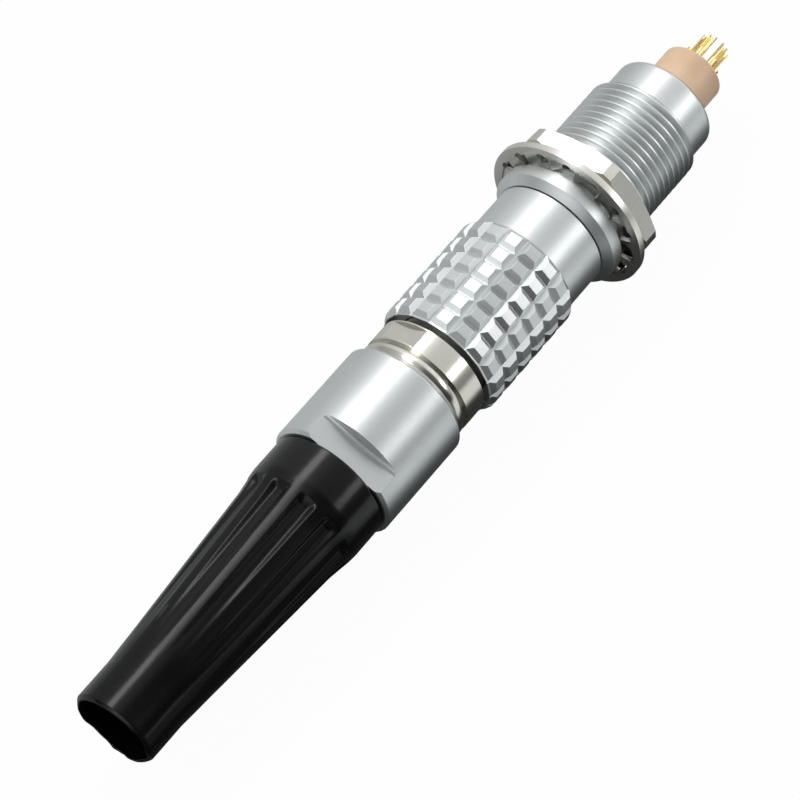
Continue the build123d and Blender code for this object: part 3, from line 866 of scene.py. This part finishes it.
@dataclass
class PanelHardware:
    """The lock washer with its twisted teeth and the hexagonal panel nut."""

    finishes: Finishes
    washer_rear: float = 0.98
    washer_thickness: float = 0.54
    washer_radius: float = 6.25
    washer_bore: float = 5.5
    tooth_count: int = 15
    tooth_angle: float = 3.2
    tooth_width: float = 1.1
    tooth_thickness: float = 0.34
    tooth_twist: float = -28
    tooth_tip: float = 4.55
    tooth_overlap: float = 0.25
    hole_steps: int = 24
    tooth_root: float = 0.2
    tooth_steps: int = 5
    tooth_narrowing: float = 0.96
    tooth_edge: float = 0.05
    ring_edge: float = 0.04
    hole_radius: float = 0.42
    hole_circle: float = 5.32
    nut_front: float = 1.01
    nut_thickness: float = 1.75
    nut_across_flats: float = 11.0
    nut_corner_radius: float = 6.15
    nut_corner_bevel: float = 0.3
    nut_bore: float = 4.48
    nut_bore_chamfer: float = 0.2
    nut_corner_angle: float = 53.3
    nut_edge: float = 0.035
    nut_edge_angle: float = 20

    def build(self) -> None:
        """Builds and dresses the washer and the nut."""
        hand_in(self.washer(), Body.WASHER, Slot.WASHER, self.finishes.washer, "lock_washer")
        hand_in(self.nut(), Body.PANEL_NUT, Slot.NICKEL, self.finishes.milled_nickel, "panel_nut")

    def washer(self) -> bpy.types.Object:
        """Turns the ring and sets its teeth, one modelled and copied round."""
        front = self.washer_rear - self.washer_thickness
        ring = turned(
            "toothed_washer",
            [
                (front, self.washer_bore),
                (front, self.washer_radius),
                (self.washer_rear, self.washer_radius),
                (self.washer_rear, self.washer_bore),
            ],
        )
        soften(ring, self.ring_edge)
        pitch = 360 / self.tooth_count
        turns = [self.tooth_angle + pitch * i for i in range(self.tooth_count)]
        clear_bench()
        bpy.ops.mesh.primitive_cylinder_add(
            vertices=self.hole_steps,
            radius=self.hole_radius,
            depth=2,
            location=(0, self.hole_circle, 0),
            rotation=(0, pi / 2, 0),
        )
        bpy.ops.object.transform_apply(location=True, rotation=True, scale=True)
        hole = bpy.context.object
        holes = [copy_turned(hole, turn + pitch / 2) for turn in turns]
        bpy.data.objects.remove(hole, do_unlink=True)
        carve(ring, joined(holes[0], holes[1:]))
        tooth = self.tooth()
        teeth = [copy_turned(tooth, turn) for turn in turns]
        bpy.data.objects.remove(tooth, do_unlink=True)
        return joined(ring, teeth)

    def tooth(self) -> bpy.types.Object:
        """One tooth at angle 0: a tongue that twists more towards its tip."""
        clear_bench()
        root = self.washer_bore + self.tooth_overlap
        middle = self.washer_rear - self.washer_thickness / 2
        bpy.ops.mesh.primitive_cube_add(size=1, enter_editmode=True)
        piece = bpy.context.object
        bpy.ops.transform.resize(value=(self.tooth_thickness, self.tooth_root, self.tooth_width))
        bpy.ops.transform.translate(value=(middle, root, 0))
        tongue_start = root - self.tooth_root / 2
        steps = self.tooth_steps
        reach = (tongue_start - self.tooth_tip) / steps
        for i in range(steps):
            level = tongue_start - reach * i
            pick(piece, lambda co: co.y < level + FINE_MERGE)
            bpy.ops.mesh.extrude_region_move(TRANSFORM_OT_translate={"value": (0, -reach, 0)})
            bpy.ops.transform.resize(value=(1, 1, self.tooth_narrowing), center_override=(middle, 0, 0))
            bpy.ops.transform.rotate(
                value=radians(self.tooth_twist / steps), orient_axis="Y", center_override=(middle, 0, 0)
            )
        bpy.ops.object.mode_set(mode="OBJECT")
        soften(piece, self.tooth_edge)
        return piece

    def nut(self) -> bpy.types.Object:
        """Turns the nut's corners and bores it."""
        clear_bench()
        corner = self.nut_across_flats / (2 * cos(pi / 6))
        bpy.ops.mesh.primitive_cylinder_add(vertices=6, radius=corner, depth=self.nut_thickness)
        piece = bpy.context.object
        piece.name = "hexagon_nut"
        middle = self.nut_front + self.nut_thickness / 2
        piece.matrix_world = (
            Matrix.Translation((middle, 0, 0))
            @ Matrix.Rotation(radians(self.nut_corner_angle - 90), 4, "X")
            @ Matrix.Rotation(pi / 2, 4, "Z")
            @ Matrix.Rotation(pi / 2, 4, "X")
        )
        bpy.ops.object.transform_apply(location=True, rotation=True, scale=True)
        rear = self.nut_front + self.nut_thickness
        bevel = self.nut_corner_bevel
        blank = turned(
            "blank",
            [
                (self.nut_front, self.nut_bore + self.nut_bore_chamfer),
                (self.nut_front, self.nut_corner_radius - 2 * bevel),
                (self.nut_front + bevel, self.nut_corner_radius),
                (rear - bevel, self.nut_corner_radius),
                (rear, self.nut_corner_radius - 2 * bevel),
                (rear, self.nut_bore + self.nut_bore_chamfer),
                (rear - self.nut_bore_chamfer, self.nut_bore),
                (self.nut_front + self.nut_bore_chamfer, self.nut_bore),
            ],
        )
        carve(piece, blank, "INTERSECT")
        soften(piece, self.nut_edge, angle=self.nut_edge_angle)
        return piece


@dataclass
class ReleaseSleeve:
    """The grip that is pulled to let the plug go: knurled blocks, a smooth front and a windowed nose."""

    finishes: Finishes
    rear: float = -14.75
    knurl_rear: float = -14.6
    rows: int = 6
    columns: int = 18
    row_pitch: float = 1.55
    knurl_radius: float = 4.75
    knurl_floor: float = 4.45
    groove_half_width: float = 0.36
    knurl_angle: float = 10.3
    block_root: float = 0.1
    bed_depth: float = 0.03
    front_radius: float = 4.33
    shoulder: float = -1.53
    nose_radius: float = 3.25
    nose_bore: float = 2.95
    nose_reach: float = 5.3
    step: float = -7.37
    main_bore: float = 3.48
    mouth_bore: float = 4.33
    mouth_end: float = -13.92
    window: tuple[float, float] = (0.9, 2.1)
    window_arc: float = 40
    window_cut: tuple[float, float] = (2, 4)
    window_steps: int = 12
    span_share: float = 1.6
    barrel_edge: float = 0.05
    block_edge: float = 0.022
    block_edge_angle: float = 28
    hook_angle: float = 90

    @property
    def knurl_front(self) -> float:
        """Station where the knurl meets the smooth front."""
        return self.knurl_rear + self.rows * self.row_pitch

    def build(self) -> None:
        """Builds and dresses the sleeve."""
        barrel = self.barrel()
        blocks = self.block_column()
        turn = 360 / self.columns
        columns = [copy_turned(blocks, self.knurl_angle + turn * i) for i in range(self.columns)]
        bpy.data.objects.remove(blocks, do_unlink=True)
        sleeve = joined(barrel, columns)
        hand_in(sleeve, Body.SLEEVE, Slot.CHROME, self.finishes.chrome, "release_sleeve")

    def barrel(self) -> bpy.types.Object:
        """Turns the sleeve without its blocks and cuts the two windows in its nose."""
        bed = self.knurl_floor - self.bed_depth
        piece = turned(
            "knurled_release_sleeve",
            [
                (self.rear + self.bed_depth, self.mouth_bore),
                (self.rear + self.bed_depth, bed),
                (self.knurl_front, bed),
                (self.knurl_front, self.front_radius),
                (self.shoulder, self.front_radius),
                (self.shoulder, self.nose_radius),
                (self.nose_reach, self.nose_radius),
                (self.nose_reach, self.nose_bore),
                (self.step, self.nose_bore),
                (self.step, self.main_bore),
                (self.mouth_end, self.main_bore),
                (self.mouth_end, self.mouth_bore),
            ],
        )
        soften(piece, self.barrel_edge, 3)
        low, high = self.window
        inner, outer = self.window_cut
        for side in (0, 180):
            cutter = turned(
                "window",
                [(low, inner), (low, outer), (high, outer), (high, inner)],
                self.window_steps,
                self.hook_angle + side - self.window_arc / 2,
                self.window_arc,
            )
            carve(piece, cutter)
        return piece

    def block_column(self) -> bpy.types.Object:
        """One column of flat-topped blocks at angle 0, cut from a grooved bar by two slanted planes."""
        half, floor, top = self.groove_half_width, self.knurl_floor, self.knurl_radius
        turn = 360 / self.columns
        span = self.span_share * turn
        chord = 1 / cos(radians(span / 2))
        outline = [(self.rear, floor * chord), (self.knurl_rear, floor * chord)]
        for row in range(self.rows):
            rear = self.knurl_rear + row * self.row_pitch
            front = rear + self.row_pitch
            outline += [(rear + half, top * chord), (front - half, top * chord), (front, floor * chord)]
        root = floor - self.block_root
        outline += [(self.knurl_front, root * chord), (self.rear, root * chord)]
        piece = turned("knurl_column", outline, 1, -span / 2, span)
        take(piece)
        bpy.ops.object.mode_set(mode="EDIT")
        depth = top - floor
        for side in (1, -1):
            edge = outward(side * turn / 2)
            across = outward(side * (turn / 2 + 90))
            slope = (edge * half + across * depth).normalized()
            bpy.ops.mesh.select_all(action="SELECT")
            bpy.ops.mesh.bisect(plane_co=edge * floor, plane_no=slope, use_fill=True, clear_outer=True)
        bpy.ops.mesh.select_all(action="SELECT")
        bpy.ops.mesh.normals_make_consistent(inside=False)
        bpy.ops.object.mode_set(mode="OBJECT")
        soften(piece, self.block_edge, angle=self.block_edge_angle)
        return piece


@dataclass
class LatchSleeve:
    """The plug's inner sleeve: a collar with flats, a threaded spigot and sprung fingers with two hooks."""

    finishes: Finishes
    spigot_rear: float = -21.98
    spigot_radius: float = 3.9
    nut_seat: float = -18.08
    collar_rear: float = -16.93
    collar_front: float = -15.13
    collar_radius: float = 4.28
    rim_crown: float = 0.25
    line_width: float = 0.12
    flat_distance: float = 4.0
    flat_length: float = 1.55
    flat_angle: float = 63.2
    tube_radius: float = 3.43
    tube_bore: float = 2.93
    finger_root: float = -8.6
    finger_radius: float = 2.9
    finger_bore: float = 2.6
    finger_end: float = 2.15
    slot_rear: float = -5.45
    slot_width: float = 0.5
    key_slot_width: float = 1.4
    key_angle: float = 135
    hook: tuple[float, float] = (1.0, 2.0)
    hook_top: float = 3.45
    hook_ramp: float = 0.55
    hook_slope: float = 0.15
    hook_arc: float = 34
    hook_angle: float = 90
    tucked_share: float = 0.835
    root_overlap: float = 0.4
    hook_overlap: float = 0.1
    rim_steps: int = 8
    cutter_reach: float = 6
    cutter_half_width: float = 5
    finger_steps: int = 96
    hook_steps: int = 12
    saw_reach: tuple[float, float] = (2, 4)
    collar_edge: float = 0.035
    finger_edge: float = 0.02

    def build(self) -> None:
        """Builds and dresses the collar and the fingers."""
        hand_in(self.collar(), Body.PLUG, Slot.NICKEL, self.finishes.nickel, "latch_sleeve")
        fingers = hand_in(self.fingers(), Body.PLUG, Slot.NICKEL, self.finishes.nickel, "latch_sleeve")
        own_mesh(fingers)

    def collar(self) -> bpy.types.Object:
        """Turns the tube, the crowned rim and the collar, and mills the collar's two flats."""
        rim_middle = (self.nut_seat + self.collar_rear - self.line_width) / 2
        rim_half = rim_middle - self.nut_seat
        shares = [i / self.rim_steps * 2 - 1 for i in range(self.rim_steps + 1)]
        rim = [
            (rim_middle + rim_half * s, self.collar_radius - self.rim_crown * abs(s) ** 3) for s in shares
        ]
        piece = turned(
            "nickel_collar",
            [
                (self.spigot_rear, self.tube_bore),
                (self.spigot_rear, self.spigot_radius),
                (self.nut_seat, self.spigot_radius),
                *rim,
                (self.collar_rear, self.collar_radius - self.rim_crown),
                (self.collar_rear, self.collar_radius),
                (self.collar_front, self.collar_radius),
                (self.collar_front, self.tube_radius),
                (self.finger_root, self.tube_radius),
                (self.finger_root, self.tube_bore),
            ],
        )
        flat_front = self.collar_front - self.line_width
        for side in (0, 180):
            cutter = block(
                "flat",
                Vector((flat_front - self.flat_length, self.flat_distance, -self.cutter_half_width)),
                Vector((flat_front, self.cutter_reach, self.cutter_half_width)),
                self.flat_angle + side,
            )
            carve(piece, cutter)
        soften(piece, self.collar_edge)
        return piece

    def fingers(self) -> bpy.types.Object:
        """Turns the finger tube, sets the hooks on it and saws its slots."""
        piece = turned(
            "latch_fingers",
            [
                (self.finger_root - self.root_overlap, self.finger_bore),
                (self.finger_root - self.root_overlap, self.finger_radius),
                (self.finger_end, self.finger_radius),
                (self.finger_end, self.finger_bore),
            ],
            self.finger_steps,
        )
        rear, front = self.hook
        for side in (0, 180):
            hook = turned(
                "hook",
                [
                    (rear, self.finger_radius - self.hook_overlap),
                    (rear + self.hook_slope, self.hook_top),
                    (front - self.hook_ramp, self.hook_top),
                    (front, self.finger_radius - self.hook_overlap),
                ],
                self.hook_steps,
                self.hook_angle + side - self.hook_arc / 2,
                self.hook_arc,
            )
            carve(piece, hook, "UNION")
        low, high = self.saw_reach
        for i in range(4):
            width = self.key_slot_width if i == 0 else self.slot_width
            saw = block(
                "saw",
                Vector((self.slot_rear, low, -width / 2)),
                Vector((self.finger_end + 1, high, width / 2)),
                self.key_angle + 90 * i,
            )
            carve(piece, saw)
        soften(piece, self.finger_edge, 1)
        return piece


@dataclass
class ColletNut:
    """The rear nut of the plug, with a milled flat on each side."""

    finishes: Finishes
    front: float = -18.11
    length: float = 8.35
    radius: float = 4.75
    front_edge: float = 0.35
    rear_edge: float = 0.2
    thread_bore: float = 3.93
    thread_end: float = -22.31
    cone_end: float = -23.11
    cone_radius: float = 2.46
    cone_mouth: float = 2.91
    chamber: tuple[float, float, float] = (-24.31, -23.31, 3.6)
    neck_bore: float = 3.2
    flat_distance: float = 3.63
    flat_length: float = 2.0
    flat_angle: float = 107.2
    cutter_radius: float = 0.5
    cutter_round_share: float = 0.6
    cutter_steps: int = 5
    cutter_reach: float = 6
    edge: float = 0.06

    def build(self) -> None:
        """Builds and dresses the nut."""
        rear = self.front - self.length
        chamber_rear, chamber_front, chamber_radius = self.chamber
        piece = turned(
            "rear_nut",
            [
                (self.front, self.thread_bore),
                (self.front, self.radius - self.front_edge),
                (self.front - self.front_edge, self.radius),
                (rear + self.rear_edge, self.radius),
                (rear, self.radius - self.rear_edge),
                (rear, self.neck_bore),
                (chamber_rear, self.neck_bore),
                (chamber_rear, chamber_radius),
                (chamber_front, chamber_radius),
                (chamber_front, self.cone_radius),
                (self.cone_end, self.cone_radius),
                (self.thread_end, self.cone_mouth),
                (self.thread_end, self.thread_bore),
            ],
        )
        soften(piece, self.edge, 3)
        reach = self.cutter_reach
        for side in (0, 180):
            cutter = block(
                "milling",
                Vector((rear - 1, self.flat_distance, -reach)),
                Vector((rear + self.flat_length, reach, reach)),
                self.flat_angle + side,
            )
            soften(cutter, self.cutter_radius * self.cutter_round_share, self.cutter_steps)
            carve(piece, cutter)
        hand_in(piece, Body.COLLET_NUT, Slot.CHROME, self.finishes.chrome, "collet_nut")


@dataclass
class BendRelief:
    """The rubber boot: a tapered tube with twelve flutes that fade out, a shoulder and a snap-in bead."""

    finishes: Finishes
    tip: float = -49.29
    tip_length: float = 3.3
    tip_radius: float = 3.12
    tip_round: float = 0.22
    bore_radius: float = 2.75
    taper_end: float = -32.09
    shoulder_radius: float = 4.07
    shoulder_start: float = -32.0
    shoulder_bend: tuple[float, float] = (-30.49, 4.32)
    collar_start: float = -29.19
    collar_radius: float = 4.4
    front: float = -26.49
    front_round: float = 0.15
    neck_radius: float = 3.15
    bead: tuple[float, float, float] = (-24.28, -23.34, 3.55)
    flute_count: int = 12
    flute_arc: float = 16.5
    flute_angle: float = 15.2
    flute_depth: float = 0.3
    flute_length: float = 14.0
    flute_wall: float = 0.5
    flute_profile: tuple[tuple[float, float], ...] = ((9.1, 0.25), (7.6, 0.62), (6.1, 0.9), (4.6, 1.0))
    flute_stations: int = 18
    shoulder_steps: int = 8
    station_gap: float = 0.12
    ring_play: float = 0.004
    straight_share: float = 0.3
    edge: float = 0.06
    steps: int = 240
    nicks: tuple[tuple[float, float, float], ...] = (
        (205, 0.16, 0.9),
        (262, 0.09, 0.5),
        (300, 0.2, 1.1),
        (10, 0.08, 0.7),
        (150, 0.1, 0.8),
    )

    @property
    def taper_start(self) -> float:
        """Station where the tip's straight end meets the taper."""
        return self.tip + self.tip_length

    @property
    def taper_slope(self) -> float:
        """Growth of the radius along the taper."""
        return (self.shoulder_radius - self.tip_radius) / (self.taper_end - self.taper_start)

    @property
    def flute_front(self) -> float:
        """Station of the flutes' front wall, in the shoulder."""
        return self.shoulder_bend[0]

    def build(self) -> None:
        """Builds and dresses the boot."""
        bead_rear, bead_front, bead_radius = self.bead
        stations = self.stations()
        piece = turned(
            "rubber_boot",
            [
                (self.tip, self.bore_radius),
                (self.tip, self.tip_radius - self.tip_round),
                (self.tip + self.tip_round, self.tip_radius),
                *[(x, self.wall(x)) for x in stations],
                (self.front - self.front_round, self.collar_radius),
                (self.front, self.collar_radius - self.front_round),
                (self.front, self.neck_radius),
                (bead_rear, self.neck_radius),
                (bead_rear, bead_radius),
                (bead_front, self.neck_radius),
                (bead_front, self.bore_radius),
            ],
            self.steps,
            self.flute_angle - self.flute_arc / 2,
        )
        self.press_flutes(piece, stations)
        soften(piece, self.edge, 3)
        self.nick_lip(piece)
        hand_in(piece, Body.BOOT, Slot.RUBBER, self.finishes.rubber, "bend_relief")

    def stations(self) -> list[float]:
        """Stations of the rings from the tip's straight end to the collar."""
        fade = self.flute_front - self.flute_length
        rings = range(self.flute_stations + 1)
        flutes = [fade + self.flute_length * i / self.flute_stations for i in rings]
        length = self.collar_start - self.shoulder_start
        steps = range(self.shoulder_steps + 1)
        shoulder = [self.shoulder_start + length * i / self.shoulder_steps for i in steps]
        walls = {self.flute_front + self.flute_wall * i / 3 for i in range(4)}
        kept = [self.taper_start]
        for x in sorted({self.taper_start, *flutes, *walls, *shoulder}):
            if x - kept[-1] > self.station_gap or x in walls:
                kept.append(x)
        return kept

    def wall(self, x: float) -> float:
        """The boot's radius on its taper and its shoulder, which bends like an S."""
        taper = self.tip_radius + self.taper_slope * (x - self.taper_start)
        if x <= self.shoulder_start:
            return taper
        share = min((x - self.shoulder_start) / (self.collar_start - self.shoulder_start), 1)
        start = self.tip_radius + self.taper_slope * (self.shoulder_start - self.taper_start)
        eased = share * share * (3 - 2 * share)
        risen = self.straight_share * share + (1 - self.straight_share) * eased
        return start + (self.collar_radius - start) * risen

    def press_flutes(self, piece: bpy.types.Object, stations: Sequence[float]) -> None:
        """Presses the flutes into the taper, deepest at their front end.

        Args:
            piece: The turned boot.
            stations: The stations of its outer rings.
        """
        fade = self.flute_front - self.flute_length
        fade_radius = self.wall(fade)
        taper = self.taper_slope * (self.flute_front - self.taper_start)
        floor = self.tip_radius + taper - self.flute_depth
        period = 360 / self.flute_count
        take(piece)
        bpy.ops.object.mode_set(mode="EDIT")
        for x in stations:
            if not fade < x < self.flute_front + self.flute_wall:
                continue
            radius = self.wall(x)
            run = (min(x, self.flute_front) - fade) / self.flute_length
            depth = radius - fade_radius - (floor - fade_radius) * run
            depth *= 1 - max(x - self.flute_front, 0) / self.flute_wall
            inner = 0.0
            for half, share in reversed(self.flute_profile):

                def in_band(co: Vector) -> bool:
                    """Whether a vertex of this ring lies in this band of a flute."""
                    off_ring = abs(Vector((co.y, co.z)).length - radius)
                    if abs(co.x - x) > FINE_MERGE or off_ring > self.ring_play:
                        return False
                    turn = degrees(atan2(co.z, co.y)) - self.flute_angle + period / 2
                    angle = abs(turn % period - period / 2)
                    return inner <= angle < half

                pick(piece, in_band)
                scale = 1 - depth * share / radius
                bpy.ops.transform.resize(value=(1, scale, scale), center_override=(x, 0, 0))
                inner = half
        bpy.ops.object.mode_set(mode="OBJECT")

    def nick_lip(self, piece: bpy.types.Object) -> None:
        """Pulls the mouth's lip in a little at a few places, as a trimmed moulding has it."""
        take(piece)
        bpy.ops.object.mode_set(mode="EDIT")
        for angle, depth, reach in self.nicks:
            spot = outward(angle) * self.bore_radius + Vector((self.tip, 0, 0))
            pick(piece, lambda co: (co - spot).length < reach / 2)
            bpy.ops.transform.translate(
                value=(depth, 0, 0),
                use_proportional_edit=True,
                proportional_edit_falloff="SMOOTH",
                proportional_size=reach,
            )
        bpy.ops.object.mode_set(mode="OBJECT")


# Studio


@dataclass(frozen=True)
class Softbox:
    """A soft lamp that looks at the connector from an angle about its axis."""

    name: str
    angle: float
    distance: float
    length: float
    width: float
    glow: float
    x: float = -0.016
    tint: Colour = (1, 1, 1)

    def hang(self) -> None:
        """Hangs the lamp and points it at the connector."""
        lamp = bpy.data.lights.new(self.name, "AREA")
        lamp.shape, lamp.size, lamp.size_y = "RECTANGLE", self.length, self.width
        lamp.energy = self.glow * pi * self.length * self.width
        lamp.color = self.tint
        held = bpy.data.objects.new(self.name, lamp)
        bpy.context.scene.collection.objects.link(held)
        out = outward(self.angle)
        across = outward(self.angle + 90)
        held.matrix_world = Matrix.Translation(out * self.distance + Vector((self.x, 0, 0))) @ Matrix(
            ((1, across.x, out.x), (0, across.y, out.y), (0, across.z, out.z))
        ).to_4x4()


@dataclass
class Studio:
    """A pale floor, soft lamps and the camera."""

    floor_size: float = 4.0
    floor_gap: float = 0.0002
    aim: tuple[float, float, float] = (-0.01855, 0.0002, 0)
    sight: tuple[float, float, float] = (0.4164, 0.3131, -0.8536)
    distance: float = 0.2355
    lens: float = 157.5
    sensor: float = 36
    lamps: list[Softbox] = field(
        default_factory=lambda: [
            Softbox("overhead softbox", 66, 0.3, 0.5, 0.07, 4.2),
            Softbox("side strip", 146, 0.3, 0.25, 0.07, 3.4, 0.215),
        ]
    )
    room: tuple[tuple[float, float], ...] = (
        (-90, 0.5),
        (0, 0.62),
        (35, 0.8),
        (52, 1.0),
        (80, 1.0),
        (96, 0.7),
        (125, 0.65),
        (150, 0.5),
        (165, 0.26),
        (180, 0.22),
    )
    far_side: tuple[float, float] = (88, 108)
    near_side: tuple[float, float] = (28, 8)
    end_rise: tuple[float, float] = (0.35, 0.41)
    end_glow: tuple[float, float] = (0.41, 0.5)
    low_rise: tuple[float, float] = (-0.7, -0.5)
    pole: tuple[float, float] = (-0.84, -0.93)
    # Bands across and along the axis, in metres, where the floor's reflection holds painted light and
    # painted shade
    painted_light_band: tuple[float, float] = (-0.013, -0.02)
    painted_far_band: tuple[float, float] = (0.002, 0.014)
    painted_boot_shadow: tuple[float, float] = (-0.026, -0.016)
    far_flag: float = 0.42
    end_flag: float = 0.43
    glow_share: float = 0.4
    low_flag: float = 0.5
    pole_strength: float = 1.4
    # Levels of the floor's painted reflection: painted light beside the connector, painted shade under it
    painted_light_share: float = 0.7
    painted_light_base: float = 0.15
    painted_far_share: float = 0.5
    painted_shade_level: float = 0.04
    white_share: float = 0.97
    paper: Colour = (0.82, 0.83, 0.84)
    painted_reflection_tint: Colour = (0.97, 0.99, 1.0)
    near_clip: float = 0.01

    def build(self, lowest: float) -> None:
        """Lays the floor, hangs the lamps, lights the world and sets the camera.

        Args:
            lowest: The lowest point of the connector.
        """
        self.floor(lowest - self.floor_gap)
        for lamp in self.lamps:
            lamp.hang()
        self.world()
        self.camera()
        bpy.context.scene.view_settings.view_transform = "Standard"

    def floor(self, height: float) -> None:
        """Lays the floor: nearly white to the camera; in its reflections it glows with a painted shade
        under the connector and painted light beside it.
        """
        clear_bench()
        bpy.ops.mesh.primitive_plane_add(size=self.floor_size, location=(0, 0, height))
        floor = bpy.context.object
        floor.name = "studio_floor"
        made = bpy.data.materials.new("pale floor")
        maker = NodeMaker(made)
        seen = maker.node("ShaderNodeLightPath", output="Is Camera Ray")
        mirrored = maker.node("ShaderNodeLightPath", output="Is Glossy Ray")
        across = maker.node("ShaderNodeSeparateXYZ", {}, {0: maker.place()}, "Y")
        along = maker.node("ShaderNodeSeparateXYZ", {}, {0: maker.place()}, "X")
        # Painted reflection: in glossy rays the floor's glow is a painted shade under the connector. It is
        # weaker near the boot as a painted shadow, with painted light bands on both sides
        painted_light_part = along.above(*self.painted_boot_shadow) * self.painted_light_share + self.painted_light_base
        painted_far_part = across.above(*self.painted_far_band) * self.painted_far_share
        painted_reflection_strength = across.above(*self.painted_light_band) * painted_light_part + painted_far_part + self.painted_shade_level
        paper = maker.node("ShaderNodeBsdfDiffuse", {}, {"Color": self.paper})
        white = maker.node("ShaderNodeEmission", {}, {"Color": (1.0, 1.0, 1.0), "Strength": 1.0})
        painted_reflection = maker.node("ShaderNodeEmission", {}, {"Color": self.painted_reflection_tint, "Strength": painted_reflection_strength})
        # Glossy rays see the painted reflection; other rays see the diffuse paper
        paper_or_painted_reflection = maker.node("ShaderNodeMixShader", {}, {0: mirrored, 1: paper, 2: painted_reflection})
        maker.surface(maker.node("ShaderNodeMixShader", {}, {0: seen * self.white_share, 1: paper_or_painted_reflection, 2: white}))
        floor.data.materials.append(made)
        floor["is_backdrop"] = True

    def world(self) -> None:
        """Lights the world round the axis, with a dark flag beyond the boot; the camera sees white."""
        world = bpy.data.worlds.new("studio")
        bpy.context.scene.world = world
        maker = NodeMaker(world)
        seen = maker.node("ShaderNodeLightPath", output="Is Camera Ray")
        way = maker.node("ShaderNodeTexCoord", output="Generated")
        height = maker.node("ShaderNodeSeparateXYZ", {}, {0: way}, "Z")
        across = maker.node("ShaderNodeSeparateXYZ", {}, {0: way}, "Y")
        along = maker.node("ShaderNodeSeparateXYZ", {}, {0: way}, "X")
        angle = maker.node("ShaderNodeMath", {"operation": "ARCTAN2"}, {0: height, 1: across}) * (180 / pi)
        low, high = self.room[0][0], self.room[-1][0]
        stops = [((turn - low) / (high - low), (grey, grey, grey)) for turn, grey in self.room]
        share = (angle - low) * (1 / (high - low))
        grey = maker.node("ShaderNodeValToRGB", {"stops": stops}, {0: share})
        far = angle.above(*self.far_side)
        low_light = angle.above(*self.near_side) * (1 - along.above(*self.low_rise))
        boot_end = (1 - along.above(*self.end_rise)) * (far * self.far_flag + self.end_flag)
        glow = far * along.above(*self.end_glow) * self.glow_share
        shaded = 1 + glow - boot_end - low_light * self.low_flag
        strength = shaded + (self.pole_strength - shaded) * along.above(*self.pole)
        room = maker.node("ShaderNodeBackground", {}, {"Color": grey, "Strength": strength})
        white = maker.node("ShaderNodeBackground", {}, {"Color": (1.0, 1.0, 1.0), "Strength": 1.0})
        mixed = maker.node("ShaderNodeMixShader", {}, {0: seen, 1: room, 2: white})
        maker.surface(mixed, "ShaderNodeOutputWorld")

    def camera(self) -> None:
        """Sets the camera at the photograph's angle."""
        lens = bpy.data.cameras.new("camera")
        lens.lens, lens.sensor_width = self.lens, self.sensor
        lens.clip_start = self.near_clip
        held = bpy.data.objects.new("camera", lens)
        bpy.context.scene.collection.objects.link(held)
        sight = Vector(self.sight).normalized()
        held.location = Vector(self.aim) - sight * self.distance
        held.rotation_euler = sight.to_track_quat("-Z", "Y").to_euler()
        bpy.context.scene.camera = held


def dress_inner_pieces(finishes: Finishes) -> None:
    """Gives every CAD node the finish of its slot.

    Args:
        finishes: The mixed finishes.
    """
    slots = {part["node"]: part["material_slot"] for part in frame["record"]["subparts"]}
    for name, node in frame["nodes"].items():
        finish = finishes.for_slot(slots[name])
        if not node.material_slots:
            node.data.materials.append(finish)
        for place in node.material_slots:
            place.material = finish
        LOG.info("%s: dressed in %s", name, finish.name)


def main() -> None:
    """Builds every sub-assembly and the studio."""
    logging.basicConfig(level=logging.INFO, format="%(message)s")
    cad_low, cad_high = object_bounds()
    finishes = Finishes.mixed()
    dress_inner_pieces(finishes)
    for sub_assembly in (Receptacle, PanelHardware, ReleaseSleeve, LatchSleeve, ColletNut, BendRelief):
        sub_assembly(finishes).build()
    Studio().build(cad_low[2])


if __name__ == "__main__":
    main()
